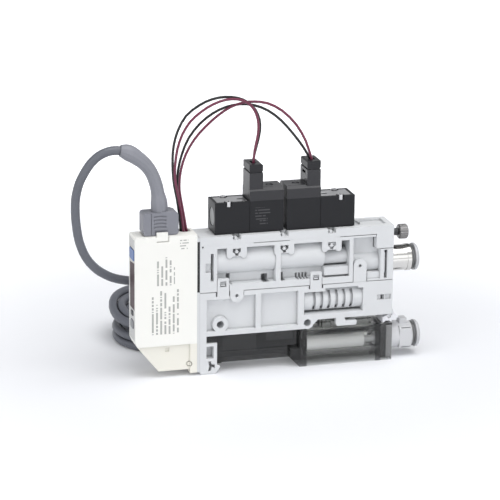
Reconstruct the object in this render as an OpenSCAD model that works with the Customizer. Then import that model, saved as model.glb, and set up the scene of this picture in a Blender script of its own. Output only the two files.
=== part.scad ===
// Vacuum ejector with two pilot valves, a display vacuum switch and a see-through filter case.
// Millimetres, +Z up. X runs from the switch end to the port end and Y into the depth.
// The pieces are drawn with X = 0 at the switch end of the moulded body and Y = 0 on its front,
// and in_frame() moves them so that the origin lies on the floor under the middle of the ejector.

/* [Body] */
// Length of the moulded body
body_l = 90; // [88:1:110]
// Thickness of the moulded body
body_t = 15; // [14.5:0.5:20]
// Height of the lower body's underside above the floor
belly_z = 17.8; // [17.4:0.2:21.4]
// Height of the lower body from its underside to the seam
lower_h = 20.2; // [19.6:0.2:25]
// Height of the upper body from the seam to the valve plate
upper_h = 22; // [21.6:0.4:27]
// Thickness of the valve plate
plate_h = 3.7; // [3.6:0.1:5]
// Depth of the recessed panels in the moulded faces
panel_d = 2.2; // [1:0.1:2.6]
// Width of the foot column at the switch end
foot_w = 8; // [7.6:0.1:9.6]

/* [Mounting] */
// Diameter of the two mounting holes
hole_d = 3.3; // [3.2:0.1:4]
// Distance between the two mounting holes
hole_pitch = 40.5; // [39:0.5:42]
// Outer radius of the boss round a mounting hole
boss_r = 3.6; // [3:0.1:4]

/* [Ports] */
// Outside diameter of the air tube that both ports take
tube_d = 6; // [4:1:6]
// Radius of a port's body
port_r = 5.9; // [5.6:0.1:6.6]
// Length of the supply port's body outside the moulded body
supply_l = 9.5; // [9.5:0.1:12]
// Length of the vacuum port's body outside the moulded body
vacuum_l = 10.9; // [9.5:0.1:13]
// Height of the supply port's axis above the seam
supply_up = 8.1; // [7.8:0.1:9]
// Height of the vacuum port's axis above the middle of the filter case
vacuum_up = 0.75; // [0.4:0.05:1]
// Travel of a release ring
release_travel = 0.9; // [0.6:0.1:1.2]

/* [Silencer] */
// Radius of the silencer barrel
barrel_r = 5.6; // [5:0.1:5.8]
// Number of slots in the silencer barrel
slot_count = 6; // [3:1:7]
// Pitch of the slots in the silencer barrel
slot_pitch = 3.5; // [2.8:0.1:3.8]

/* [Valves] */
// Length of one pilot valve
valve_l = 31.5; // [28:0.5:33]
// Width of one pilot valve
valve_w = 12.2; // [10:0.1:12.6]
// Height of a pilot valve's body
valve_h = 14.2; // [12:0.2:18]
// Height of the coil cover above the valve's body
cover_h = 5.8; // [4:0.2:8]
// Travel of a manual override button
button_travel = 0.7; // [0.4:0.1:1]

/* [Vacuum switch] */
// Length of the switch
switch_l = 28.2; // [25:0.2:34]
// Width of the switch
switch_w = 11.8; // [11:0.1:13]
// Height of the switch's top above the floor
switch_z = 65.3; // [62:0.1:78]
// Wall of the switch's housing
switch_wall = 1.2; // [1:0.1:1.6]
// Travel of a key on the switch
key_travel = 0.4; // [0.2:0.1:0.6]

/* [Filter] */
// Height of the filter case
case_h = 17.3; // [16.6:0.1:17.3]
// Radius of the bore of the filter case
case_bore_r = 6; // [5.6:0.1:6.2]
// Radius of the filter element
element_r = 5.2; // [3.5:0.1:5.3]

/* [Leads] */
// Diameter of the switch's cable
cable_d = 4; // [3:0.1:4.2]
// Diameter of a valve's lead
lead_d = 1.2; // [0.8:0.1:1.3]

/* [Hidden] */
$fn = 48;

// Clearances
fit = 0.05;        // a turning or sliding fit, on the radius
gap = 0.2;         // between mouldings that clip together
cut = 1;           // how far a cut runs past a face
groove = 0.3;      // height and width of the shadow grooves between two mouldings
groove_d = 0.6;    // their depth

// Levels and lines that several pieces share
mid_y = body_t / 2;
seam_z = belly_z + lower_h;
deck_z = seam_z + upper_h;
top_z = deck_z + plate_h;
step_z = belly_z + 4;
hole_a_x = 9.5;
hole_a_z = belly_z + 5.1;
hole_b_x = hole_a_x + hole_pitch;
hole_b_z = belly_z + 2.8;
step_x = hole_b_x + 0.9;
hook_x = step_x + 12.5;

// The three panels of the lower body, measured from the switch end
panel_a = [3.2, 25.8];
panel_b = [28.2, 45.5];
silencer = [48.3, 76];
silencer_y = barrel_r + 0.6;
silencer_z = belly_z + 12.5;
silencer_bore_r = barrel_r - 1.3;
slot_w = 1.4;
slot_x = silencer[0] + 4.3;
diffuser_r = 3.2;

// The three pockets of the upper body
pocket_a = [7.9, 34.9];
pocket_b = [37.2, 69.2];
pocket_c = [71, body_l - 6.1];
pocket_top = deck_z - 1.9;
shelf_d = 4.5;
shelf_z = seam_z + 3.3;
air_r = 6.3;
air_y = air_r + 0.4;
air_z = seam_z + 13.3;
air_end_x = 57.8;
spool_r = 3.4;
snap_w = 5.4;
snap_z = seam_z + 6.2;
snap_t = 1.2;
snap_a_x = pocket_a[0] + 0.1;
snap_b_x = snap_a_x + 43;
lug_r = 3.1;
lug_hole_r = 0.75;
lug_x = 17;
lug_z = seam_z - 2.1;
stay_x = pocket_c[0] + 0.3 + lug_r;
stay_z = seam_z + 7.6;
leg_x = body_l - 8.1;
leg_z = deck_z - 6.8;
needle_z = deck_z - 1.7;
catch_x = [15, 36.9, 59];
catch_w = 3.7;
hook_y = 0.9;
supply_z = seam_z + supply_up;
vacuum_z = case_h / 2 + vacuum_up;

// Ports
tube_r = tube_d / 2 + 0.05;
sleeve_r = tube_r + 1;
collar_l = 1;
ring_l = 1.6;
ring_r = port_r + 0.3;
ring_gap = collar_l + release_travel + 0.1;
clip_x = body_l - 4;
clip_t = 0.8;

// Filter case
case_x = 46.5;
case_end_x = body_l + 0.2;
narrow_r = 4.8;
narrow_z = 9;
mouth_l = 5.4;
mouth_wall = 0.8;
seal_l = 2.6;
rail_y = 2.7;
element_l = 27.5;
bulkhead_l = 3.6;
latch_x = body_l - 1.1;
latch_z = case_h + 3.1;
latch_pin_r = 0.8;

// Valves
valve_x = 7.4;
valve_y = body_t - 0.1 - valve_w;
valve_gap = 1.6;
valve_mid = valve_x + valve_l + valve_gap / 2;
gasket_t = 0.3;
valve_z = top_z + gasket_t;
valve_top = valve_z + valve_h;
cover_x = valve_x + 15.9;
cover_top = valve_top + cover_h;
tower_l = 6.2;
tower_z = cover_top + 6.7;
plug_z = tower_z + 3.9;
tower_y = [valve_y + 0.7, valve_y + valve_w - 0.7];
screw_x = valve_x + 6.4;
screw_y = [valve_y + 1.4, valve_y + valve_w - 1.4];
button_x = cover_x + 10.3;
button_y = valve_y + 5.2;
button_r = 1.3;

// Vacuum switch
adapter_t = 1.2;
switch_end = -adapter_t;
switch_x = switch_end - switch_l;
face_t = 1.2;
skirt_z = 15;
window_z = [31.8, 53.6];
key_out = 0.25;
key_up_z = [54.3, 59.5];
key_down_z = [28.5, 31];
key_set_z = [22.6, 26.8];
nipple_r = 2.6;
nipple_y = 6;
nipple_z = seam_z + 10;
nipple_end = 7.4;
tab_x = [-19.5, -14.5];
switch_clip_x = 5.2;
grommet_x = -5.2;
grommet_y = 8.4;
grommet_r = 3.1;
connector_x = [-25, -9.2];
connector_y = [2.2, 10.2];
connector_top = switch_z + 10.7;

// The middle of the ejector, which is the part's own frame
x_mid = (switch_x - key_out + body_l + vacuum_l + ring_gap + ring_l) / 2;

// Shared shapes

module in_frame() {
    translate([-x_mid, -mid_y, 0]) children();
}

// A box from its lowest to its highest corner
module block(low, high) {
    translate(low) cube(high - low);
}

// A rod along X, Y or Z
module rod_x(x0, x1, y, z, r) {
    translate([x0, y, z]) rotate([0, 90, 0]) cylinder(h = x1 - x0, r = r);
}

module rod_y(x, y0, y1, z, r) {
    translate([x, y0, z]) rotate([-90, 0, 0]) cylinder(h = y1 - y0, r = r);
}

module rod_z(x, y, z0, z1, r) {
    translate([x, y, z0]) cylinder(h = z1 - z0, r = r);
}

// An outline in X and Z, made thick from y0 to y1
module slab(y0, y1) {
    translate([0, y1, 0]) rotate([90, 0, 0]) linear_extrude(y1 - y0) children();
}

// An outline in Y and Z, made long from x0 to x1
module bar(x0, x1) {
    translate([x0, 0, 0]) rotate([90, 0, 90]) linear_extrude(x1 - x0) children();
}

// A rectangle from one corner to the other, with its corners rounded
module rounded(low, high, r) {
    translate([low.x + r, low.y]) square([high.x - low.x - 2 * r, high.y - low.y]);
    translate([low.x, low.y + r]) square([high.x - low.x, high.y - low.y - 2 * r]);
    for (x = [low.x + r, high.x - r], y = [low.y + r, high.y - r])
        translate([x, y]) circle(r);
}

// The same shape on the front and on the back of the body
module both_faces() {
    children();
    translate([0, body_t, 0]) mirror([0, 1, 0]) children();
}

// Points along a smooth curve through a route, with the given number of steps in each span
function curve_point(p, i, t) =
    let (
        n = len(p) - 1,
        a = p[max(i - 1, 0)],
        b = p[i],
        c = p[min(i + 1, n)],
        d = p[min(i + 2, n)]
    )
    0.5 * (2 * b + (c - a) * t + (2 * a - 5 * b + 4 * c - d) * t * t
        + (3 * b - a - 3 * c + d) * t * t * t);

function smooth(p, steps) = [
    for (i = [0 : len(p) - 2], k = [0 : steps - 1]) curve_point(p, i, k / steps),
    p[len(p) - 1]
];

function unit(v) = v / norm(v);

// A tube along a route, with its own radius at each ring. Its rings turn with the route.
module tube(route, radii, sides) {
    n = len(route);
    heading = [for (i = [0 : n - 1]) unit(route[min(i + 1, n - 1)] - route[max(i - 1, 0)])];
    across = [for (h = heading) unit(cross(h, abs(h.y) > 0.95 ? [1, 0, 0] : [0, 1, 0]))];
    points = [
        for (i = [0 : n - 1], k = [0 : sides - 1])
            let (a = 360 * k / sides, up = cross(across[i], heading[i]))
            route[i] + radii[i] * (cos(a) * across[i] + sin(a) * up)
    ];
    walls = [
        for (i = [0 : n - 2], k = [0 : sides - 1])
            let (j = (k + 1) % sides)
            [i * sides + k, i * sides + j, (i + 1) * sides + j, (i + 1) * sides + k]
    ];
    triangles = [for (w = walls) each [[w[0], w[1], w[2]], [w[0], w[2], w[3]]]];
    first = [for (k = [sides - 1 : -1 : 0]) k];
    last = [for (k = [0 : sides - 1]) (n - 1) * sides + k];
    polyhedron(points = points, faces = concat(triangles, [first, last]));
}

// Lower body: a moulding with a foot column, panels, the silencer barrel and the case's hooks

module lower_outline() {
    polygon([
        [0.8, 0], [foot_w - 0.8, 0], [foot_w + 1.5, 3], [foot_w + 1.3, 3.7], [foot_w, 4],
        [foot_w, belly_z], [step_x, belly_z], [step_x + 4, step_z],
        [body_l, step_z], [body_l, seam_z], [0, seam_z], [0, 0.8]
    ]);
    translate([hole_b_x, hole_b_z]) circle(hole_b_z - belly_z + 0.1);
}

module hook_outline() {
    x = hook_x;
    polygon([
        [x, step_z + 0.1], [x, step_z - 2.8], [x + 0.6, step_z - 3.8], [x + 9.2, step_z - 3.8],
        [x + 9.8, step_z - 3.2], [x + 9.8, step_z - 1.8], [x + 9.4, step_z - 1.5],
        [x + 4.6, step_z - 1.5], [x + 4, step_z + 0.1]
    ]);
}

module silencer_slots() {
    for (i = [0 : slot_count - 1]) {
        x = slot_x + i * slot_pitch;
        block([x, -cut, silencer_z - barrel_r + 1.2], [x + slot_w, silencer_y - 0.5,
            silencer_z + barrel_r - 1.4]);
    }
}

// A snap tongue that reaches up over the upper body, with its window
module snap_tongue(x) {
    difference() {
        slab(0, snap_t) rounded([x, seam_z - 3], [x + snap_w, snap_z], 0.4);
        block([x + 1.3, -cut, snap_z - 3.8], [x + snap_w - 1.3, snap_t + cut, snap_z - 1.3]);
    }
}

module foot_windows() {
    both_faces() {
        block([3.1, -cut, 7.3], [foot_w - 1.6, 4, 13]);
        slab(-cut, 4) polygon([
            [3.8, 6], [5.2, 6], [5.5, 4.6], [7, 4.4], [7, 2.8], [5.6, 3.2], [5.2, 1.4],
            [3.8, 1.4], [4.5, 3.7]
        ]);
    }
    block([3.1, -cut, 14.5], [foot_w + cut, body_t + cut, belly_z]);
}

module lower_body() {
    color("gainsboro") in_frame() difference() {
        union() {
            difference() {
                slab(0, body_t) lower_outline();
                both_faces() difference() {
                    union() {
                        block([panel_a[0], -cut, belly_z + 2.2], [panel_a[1], panel_d, seam_z - 3.3]);
                        block([lug_x, -cut, seam_z - 4], [panel_a[1], panel_d, seam_z - 2.2]);
                    }
                    rod_y(hole_a_x, -2 * cut, panel_d + cut, hole_a_z, boss_r);
                }
                both_faces()
                    block([panel_b[0], -cut, belly_z + 2.2], [panel_b[1], panel_d, seam_z - 2]);
                block([silencer[0], -cut, silencer_z - barrel_r - groove], [silencer[1], silencer_y,
                    silencer_z + barrel_r + groove]);
                // Two shallow recesses side by side at the port end, with a slot in the first
                both_faces() {
                    for (x = [[body_l - 7.3, body_l - 3.9], [body_l - 3.4, body_l - 0.8]])
                        block([x[0], -cut, seam_z - 9], [x[1], 0.8, seam_z - 6.6]);
                    block([body_l - 5.4, -cut, seam_z - 9], [body_l - 4.3, 4, seam_z - 6.6]);
                }
                // Slots beside the roots of both snap tongues
                both_faces() for (x = [snap_a_x, snap_b_x]) {
                    block([x - 0.7, -cut, seam_z - 2], [x, 1.6, seam_z + cut]);
                    block([x + snap_w, -cut, seam_z - 2], [x + snap_w + 0.7, 1.6, seam_z + cut]);
                }
                // Room for the round lug that hangs from the upper body
                both_faces() {
                    rod_y(lug_x, -cut, 1.6, lug_z, lug_r + gap);
                    block([lug_x - lug_r - gap, -cut, lug_z], [lug_x + lug_r + gap, 1.6, seam_z + cut]);
                }
            }
            rod_x(silencer[0] - 0.1, silencer[1] + 0.1, silencer_y, silencer_z, barrel_r);
            // Lips that narrow the silencer's opening at its two upper corners
            block([silencer[0] - 0.1, 0, seam_z - 3.1], [slot_x + 5.6, 1, seam_z - 1.6]);
            block([silencer[1] - 2.4, 0, seam_z - 2.6], [silencer[1] + 0.1, 1, seam_z - 1.6]);
            both_faces() {
                slab(0, 2.4) hook_outline();
                for (x = [snap_a_x, snap_b_x]) snap_tongue(x);
                difference() {
                    union() {
                        block([stay_x - lug_r, 0.2, seam_z - 1], [stay_x + lug_r, 1.6, stay_z]);
                        rod_y(stay_x, 0.2, 1.6, stay_z, lug_r);
                    }
                    rod_y(stay_x, -cut, 2, stay_z, lug_hole_r);
                }
            }
            // The ear that carries the latch's pin
            block([latch_x - 1.6, mid_y - 1.5, latch_z - 0.4], [latch_x + 0.9, mid_y + 1.5, step_z + 0.1]);
            rod_y(latch_x, mid_y - 1.5, mid_y + 1.5, latch_z, 1.6);
        }
        rod_y(hole_a_x, -cut, body_t + cut, hole_a_z, hole_d / 2);
        rod_y(hole_b_x, -cut, body_t + cut, hole_b_z, hole_d / 2);
        foot_windows();
        silencer_slots();
        rod_x(silencer[0] + 1.2, silencer[1] - 1, silencer_y, silencer_z, silencer_bore_r);
        rod_x(12, silencer[0] + 1.3, silencer_y, silencer_z, diffuser_r);
        // The suction passage, with the seat of the check valve
        rod_z(30, mid_y, belly_z + 1.4, silencer_z, 1.8);
        rod_z(30, mid_y, belly_z - cut, belly_z + 1.6, 3.4);
        rod_y(latch_x, mid_y - 2, mid_y + 2, latch_z, latch_pin_r);
    }
}

// Upper body: a moulding with the air barrels, clip slots and the seats of both snap pairs

module air_barrels() {
    rod_x(pocket_a[0] - 0.1, air_end_x, air_y, air_z, air_r);
    rod_x(air_end_x - 0.1, pocket_b[1] + 0.1, air_y - 0.2, air_z - 1.9, 3.5);
    rod_x(pocket_c[0] - 0.1, body_l - 2, mid_y, supply_z, 5.4);
}

// Front pockets: deep behind the barrels, with an open shelf below them
module upper_pockets() {
    for (p = [pocket_a, pocket_b]) {
        block([p[0], -cut, air_z - air_r + 0.4], [p[1], air_y, pocket_top]);
        block([p[0], -cut, shelf_z], [p[1], shelf_d, air_z - air_r + 0.5]);
    }
    block([pocket_c[0], -cut, seam_z + 1], [pocket_c[1], shelf_d - 0.3, deck_z - 1.2]);
    // Deep corners: beside the first snap tongue and the third catch, and two windows in the shelf
    block([snap_a_x + 4.9, -cut, shelf_z - 0.3], [snap_a_x + 6.8, 9, shelf_z + 3.9]);
    block([pocket_b[1] - 4.2, -cut, air_z + 1.4], [pocket_b[1], 11, pocket_top]);
    for (x = [[29.2, 32.2], [pocket_b[0] + 0.6, pocket_b[0] + 2.2]])
        block([x[0], 0.5, shelf_z - 1.7], [x[1], 11, shelf_z + 2.6]);
    // Slots in the shelf before the second snap tongue, and a trench behind it
    for (i = [0 : 3])
        block([snap_b_x - 5.9 + i * 1.5, 0.5, shelf_z - 1.7], [snap_b_x - 5 + i * 1.5, shelf_d + 1.5, shelf_z + 1.9]);
    block([air_end_x, 0.5, shelf_z - 1.3], [pocket_b[1], shelf_d, shelf_z + cut]);
}

// The block between the two rounded tabs of a catch
module catch_tabs(x) {
    slab(0, 1.3) {
        rounded([x - 2.7, deck_z - 6.7], [x - 0.05, deck_z], 1.2);
        rounded([x + catch_w + 0.05, deck_z - 6.7], [x + catch_w + 2.7, deck_z], 1.2);
        translate([x - 0.2, deck_z - 5.9]) square([catch_w + 0.4, 5.9]);
    }
}

// The funnel-shaped window of a catch, and the slot through which the plate's hook reaches it
module catch_window(x) {
    slab(-cut, 4) polygon([
        [x, deck_z - 2.3], [x, deck_z - 3.9], [x + 1.1, deck_z - 4.8], [x + 1.1, deck_z - 5.7],
        [x + catch_w - 1.1, deck_z - 5.7], [x + catch_w - 1.1, deck_z - 4.8],
        [x + catch_w, deck_z - 3.9], [x + catch_w, deck_z - 2.3]
    ]);
    block([x + 0.3, hook_y - gap, deck_z - 2.5], [x + catch_w - 0.3, hook_y + 1.2 + gap, deck_z + cut]);
}

// Bosses and ribs that stand in the pockets
module upper_ribs() {
    // The rail under the smaller barrel
    block([air_end_x - 0.1, 1, shelf_z + 0.7], [pocket_b[1] + 0.1, shelf_d + 0.1, shelf_z + 4.4]);
    // The box beside the lower body's upright lug
    block([stay_x + lug_r + 0.4, 0.9, seam_z + 0.9], [pocket_c[1] + 0.1, shelf_d, seam_z + 4]);
    // The round lugs that hang over the lower body
    both_faces() {
        rod_y(lug_x, 0, 1.4, lug_z, lug_r);
        block([lug_x - lug_r, 0, lug_z], [lug_x + lug_r, 1.4, seam_z + 0.1]);
    }
}

module upper_body() {
    color("gainsboro") in_frame() difference() {
        union() {
            difference() {
                block([0, 0, seam_z], [body_l, body_t, deck_z]);
                upper_pockets();
                // Shallow panels on the hidden side
                for (p = [pocket_a, pocket_b])
                    block([p[0], body_t - 1.4, shelf_z], [p[1], body_t + cut, deck_z - 2.4]);
                // The shadow groove along the seam
                for (x = [[-cut, lug_x - lug_r], [lug_x + lug_r, stay_x - lug_r], [stay_x + lug_r, body_l + cut]])
                    both_faces() block([x[0], -cut, seam_z - cut], [x[1], groove_d, seam_z + groove]);
                // The line under the plate, over the pockets
                block([24.5, -cut, deck_z - groove], [catch_x[1] + 4.4, groove_d, deck_z + cut]);
                block([catch_x[2] + 5.6, -cut, deck_z - groove], [leg_x, groove_d, deck_z + cut]);
                rod_y(1.3, -cut, 1.5, deck_z - 0.7, 0.4);
            }
            intersection() {
                union() {
                    air_barrels();
                    for (x = catch_x) catch_tabs(x);
                }
                block([0, 0, seam_z + 0.5], [body_l, body_t, deck_z - groove]);
            }
            upper_ribs();
        }
        // The valve plate's leg sits here
        block([leg_x - groove, -cut, leg_z - groove], [body_l + cut, body_t + cut, deck_z + cut]);
        both_faces() rod_y(lug_x, -cut, 2, lug_z, lug_hole_r);
        // Recesses for the lower body's upright lugs
        both_faces() {
            block([stay_x - lug_r - groove, -cut, seam_z - cut], [stay_x + lug_r + groove, 1.8, stay_z]);
            rod_y(stay_x, -cut, 1.8, stay_z, lug_r + groove);
        }
        // Recesses under the lower body's snap tongues, each with the tooth that fills its window
        both_faces() for (x = [snap_a_x, snap_b_x]) difference() {
            block([x - gap, -cut, seam_z - cut], [x + snap_w + gap, snap_t + gap, snap_z + gap]);
            block([x + 1.7, 0.3, snap_z - 3.4], [x + snap_w - 1.7, snap_t + 1, snap_z - 1.7]);
        }
        for (x = catch_x) catch_window(x);
        // Clip slots, with the notch beside the switch's clip
        block([switch_clip_x - 0.3, -cut, nipple_z - 4.6], [switch_clip_x + clip_t + 0.3, body_t - 2,
            nipple_z + 8]);
        block([switch_clip_x - 2.6, -cut, nipple_z - 0.6], [switch_clip_x, 1.5, nipple_z + 3.7]);
        block([clip_x - 0.3, -cut, supply_z - 7.1], [clip_x + clip_t + 0.3, body_t - 1.6,
            supply_z + 6.2]);
        // Bores for the switch's nipple, the spool and the supply port
        rod_x(-cut, nipple_end + 0.6, nipple_y, nipple_z, nipple_r + fit);
        rod_x(nipple_end + 2, air_end_x - 3, air_y, air_z, spool_r + fit);
        rod_x(body_l - 10, body_l + cut, mid_y, supply_z, 5 + fit);
        rod_x(air_end_x - 8, body_l - 9, mid_y, supply_z, 2);
    }
}

// A hook of the valve plate: its head springs forward into the catch's window
module plate_hook(x) {
    slab(hook_y, hook_y + 1.2) translate([x + 1.3, deck_z - 3.5]) square([catch_w - 2.6, 3.6]);
    slab(hook_y - 0.5, hook_y + 1.2) {
        translate([x + 1.3, deck_z - 3.7]) square([catch_w - 2.6, 0.8]);
        polygon([
            [x + 0.8, deck_z - 3.7], [x + 0.9, deck_z - 4], [x + 1.5, deck_z - 4.6],
            [x + catch_w - 1.5, deck_z - 4.6], [x + catch_w - 0.9, deck_z - 4],
            [x + catch_w - 0.8, deck_z - 3.7]
        ]);
    }
}

module valve_plate() {
    color("gainsboro") in_frame() difference() {
        union() {
            block([0, 0, deck_z], [body_l, body_t, top_z]);
            block([leg_x, 0, leg_z], [body_l, body_t, deck_z + 0.1]);
            for (x = catch_x) plate_hook(x);
        }
        // Round-ended notches over the catches, each with a small block left in it
        for (x = catch_x) difference() {
            slab(-cut, 4.5) translate([x, top_z - 1.9]) rounded([0, 0], [catch_w, 2.6], 0.5);
            block([x + 0.8, 0.6, top_z - 2.4], [x + 2.1, 5, top_z - 0.8]);
        }
        // A moulding pocket in the top beside the release valve, with a curved rib in it
        translate([0, 0, top_z - 1]) linear_extrude(1 + cut) difference() {
            translate([2 * valve_mid - valve_x + 0.8, 3.6]) square([body_l - 2.6 - 2 * valve_mid + valve_x - 0.8, 8.8]);
            difference() {
                translate([leg_x - 12.4, mid_y + 0.6]) circle(7.4);
                translate([leg_x - 12.4, mid_y + 0.6]) circle(6.6);
            }
        }
        // Seat of the needle's bush, and the needle's passage
        rod_x(leg_x + 3, body_l + cut, mid_y, needle_z, 1.65);
        rod_x(leg_x - 1, leg_x + 3.1, mid_y, needle_z, 1);
        // Pilot passages and screw holes under each valve
        for (side = [0, 1]) pilot_side(side) {
            for (i = [0 : 2]) rod_z(valve_x + 4 + 3.6 * i, mid_y + 1, deck_z - cut, top_z + cut, 0.9);
            for (y = screw_y) rod_z(screw_x, y, deck_z + 0.8, top_z + cut, 0.8);
        }
    }
}

// Ejector parts inside the body

module nozzle() {
    color("goldenrod") in_frame() difference() {
        union() {
            rod_x(12.2, 18, silencer_y, silencer_z, diffuser_r - 0.02);
            rod_x(17.9, 22.5, silencer_y, silencer_z, 1.6);
        }
        rod_x(12, 18, silencer_y, silencer_z, 1.4);
        rod_x(17, 23, silencer_y, silencer_z, 0.5);
    }
}

module diffuser() {
    color("white") in_frame() difference() {
        union() {
            rod_x(33.5, silencer[0] + 1.2, silencer_y, silencer_z, diffuser_r - 0.02);
            rod_x(25.5, 33.6, silencer_y, silencer_z, 2);
        }
        translate([25, silencer_y, silencer_z]) rotate([0, 90, 0]) cylinder(h = 6, r1 = 1.4, r2 = 0.9);
        rod_x(30, silencer[0] + 2, silencer_y, silencer_z, 1);
    }
}

module silencer_element() {
    color("whitesmoke") in_frame() difference() {
        rod_x(silencer[0] + 1.4, silencer[1] - 1.2, silencer_y, silencer_z, silencer_bore_r - gap);
        rod_x(silencer[0], silencer[1] - 4, silencer_y, silencer_z, 2);
    }
}

module check_valve() {
    color("dimgray") in_frame() {
        rod_z(30, mid_y, belly_z + 0.1, belly_z + 1.3, 3.1);
        rod_z(30, mid_y, belly_z + 1.2, belly_z + 4, 0.8);
    }
}

module valve_spool() {
    color("silver") in_frame() {
        rod_x(nipple_end + 2.4, air_end_x - 6, air_y, air_z, 1.6);
        for (x = [nipple_end + 2.4, 20, 32, 44, air_end_x - 8.4])
            rod_x(x, x + 2.4, air_y, air_z, spool_r);
    }
}

// Filter case: one clear moulding, narrow under the panels and deep round the element

module case_outline() {
    polygon([
        [case_x - 4.4, 4.6], [case_x, 0], [case_end_x, 0], [case_end_x, case_h],
        [case_x, case_h], [case_x, narrow_z], [case_x - 4.4, narrow_z]
    ]);
}

module filter_case() {
    color("#5a5c55", 0.6) in_frame() difference() {
        union() {
            slab(0, body_t) case_outline();
            rod_x(foot_w + 2.3, case_x + 1, mid_y, narrow_z, narrow_r);
            block([foot_w + 2.3, 2.4, narrow_z - 4.6], [case_x, body_t - 2.4, narrow_z + 0.5]);
            // End flange, tongue in the foot's slot, and the rail under the belly
            block([foot_w + 0.3, 1.2, 4.4], [foot_w + 2.4, body_t - 1.2, belly_z - gap]);
            block([3.4, 0.6, 14.8], [foot_w + 0.4, body_t - 0.6, belly_z - 0.3]);
            block([foot_w + 0.3, rail_y, narrow_z], [case_x + 1, body_t - rail_y, belly_z - gap]);
            // Rail between the hooks, and the lug in front of them
            block([case_x + 10, rail_y, case_h - 0.1], [body_l - 9, body_t - rail_y, step_z - gap]);
            block([hook_x - 6.2, 0.8, case_h - 0.1], [hook_x - 2, rail_y + 0.1, step_z - 0.9]);
            block([case_x + 1, 3.4, case_h - 0.1], [case_x + 4, body_t - 3.4, belly_z - 0.1]);
        }
        // The bore, open at the port end, and the mouth that takes the seal and the port's flange
        rod_x(case_x + bulkhead_l, case_end_x + cut, mid_y, vacuum_z, case_bore_r);
        block([case_end_x - mouth_l, mouth_wall, mouth_wall], [case_end_x + cut, body_t - mouth_wall,
            case_h - mouth_wall]);
        // The passage from the element to the check valve
        rod_x(28, case_x + bulkhead_l + 1, mid_y, vacuum_z, 2.4);
        rod_z(30, mid_y, vacuum_z, belly_z + cut, 2.2);
        // The notch that the latch's nose drops into
        block([latch_x - 3.4, 2, case_h - 0.75], [latch_x - 1.7, body_t - 2, case_h + cut]);
    }
}

module filter_element() {
    color("white") in_frame() difference() {
        rod_x(case_x + bulkhead_l + 0.2, case_x + bulkhead_l + element_l, mid_y, vacuum_z, element_r);
        rod_x(case_x + bulkhead_l + 3, case_x + bulkhead_l + element_l + 1, mid_y, vacuum_z, 2.6);
    }
}

module case_seal() {
    x = case_end_x - mouth_l + 0.1;
    color("#202020") in_frame() difference() {
        bar(x, x + seal_l)
            rounded([mouth_wall + 0.1, mouth_wall + 0.1],
                [body_t - mouth_wall - 0.1, case_h - mouth_wall - 0.1], 1);
        rod_x(x - cut, x + seal_l + cut, mid_y, vacuum_z, 5 + 0.02);
    }
}

module filter_latch() {
    x = latch_x;
    z = latch_z;
    color("white") in_frame() difference() {
        union() {
            slab(0.6, body_t - 0.6) polygon([
                [x - 3.1, z - 2.9], [x - 2, z - 3.5], [x - 2, z - 1.9], [x + 2.2, z - 1.9],
                [x + 4.6, z - 0.4], [x + 2.2, z + 1.6], [x + 1.4, z + 3.6], [x + 1.4, z + 0.6],
                [x - 1, z + 0.8], [x - 3.1, z - 0.2]
            ]);
            rod_y(x, 0.6, body_t - 0.6, z, 1.25);
        }
        block([x - 2.2, mid_y - 1.8, z - 2.2], [x + 1.9, mid_y + 1.8, z + 2.4]);
        block([x - 4, mid_y - 1.8, z - 0.9], [x, mid_y + 1.8, z + 2.4]);
        rod_y(x, -cut, body_t + cut, z, latch_pin_r + fit);
        block([x - 4, -cut, z - 4], [x - 1.9, 2.3, z - 2.4]);
        block([x - 4, body_t - 2.3, z - 4], [x - 1.9, body_t + cut, z - 2.4]);
    }
}

module latch_pin() {
    color("silver") in_frame() rod_y(latch_x, 1, body_t - 1, latch_z, latch_pin_r);
}

// One-touch ports: body, collar, tube seal and release ring on one axis

module port_collar(z, l) {
    x = body_l + l;
    color("#202020") in_frame() difference() {
        union() {
            rod_x(x, x + collar_l, mid_y, z, port_r - 0.1);
            rod_x(x - 1.4, x + 0.1, mid_y, z, sleeve_r + 0.9);
        }
        rod_x(x - 2, x + collar_l + cut, mid_y, z, sleeve_r + fit);
    }
}

module port_seal(z) {
    x = body_l + 3.2;
    color("#202020") in_frame() difference() {
        rod_x(x, x + 1.8, mid_y, z, sleeve_r + 0.5);
        rod_x(x - cut, x + 2 + cut, mid_y, z, tube_r);
    }
}

module release_ring(z, l) {
    x = body_l + l + ring_gap;
    bevel = 0.6;
    color("lightgray") in_frame() difference() {
        union() {
            rod_x(body_l + 6.6, x + 0.1, mid_y, z, sleeve_r);
            rod_x(x, x + ring_l - bevel, mid_y, z, ring_r);
            translate([x + ring_l - bevel - 0.1, mid_y, z]) rotate([0, 90, 0])
                cylinder(h = bevel + 0.1, r1 = ring_r, r2 = ring_r - bevel);
        }
        rod_x(body_l + 6, x + ring_l + cut, mid_y, z, tube_r);
        translate([x + ring_l - bevel, mid_y, z]) rotate([0, 90, 0])
            cylinder(h = bevel + 0.1, r1 = tube_r, r2 = tube_r + bevel);
    }
}

// The bores that every port's body shares
module port_bores(z, l) {
    rod_x(body_l + 2, body_l + l + cut, mid_y, z, tube_r);
    rod_x(body_l + 3.1, body_l + 5.1, mid_y, z, sleeve_r + 0.5);
    rod_x(body_l + 5, body_l + l + cut, mid_y, z, sleeve_r + fit);
    rod_x(body_l + l - 1.5, body_l + l + cut, mid_y, z, sleeve_r + 0.92);
}

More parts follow.
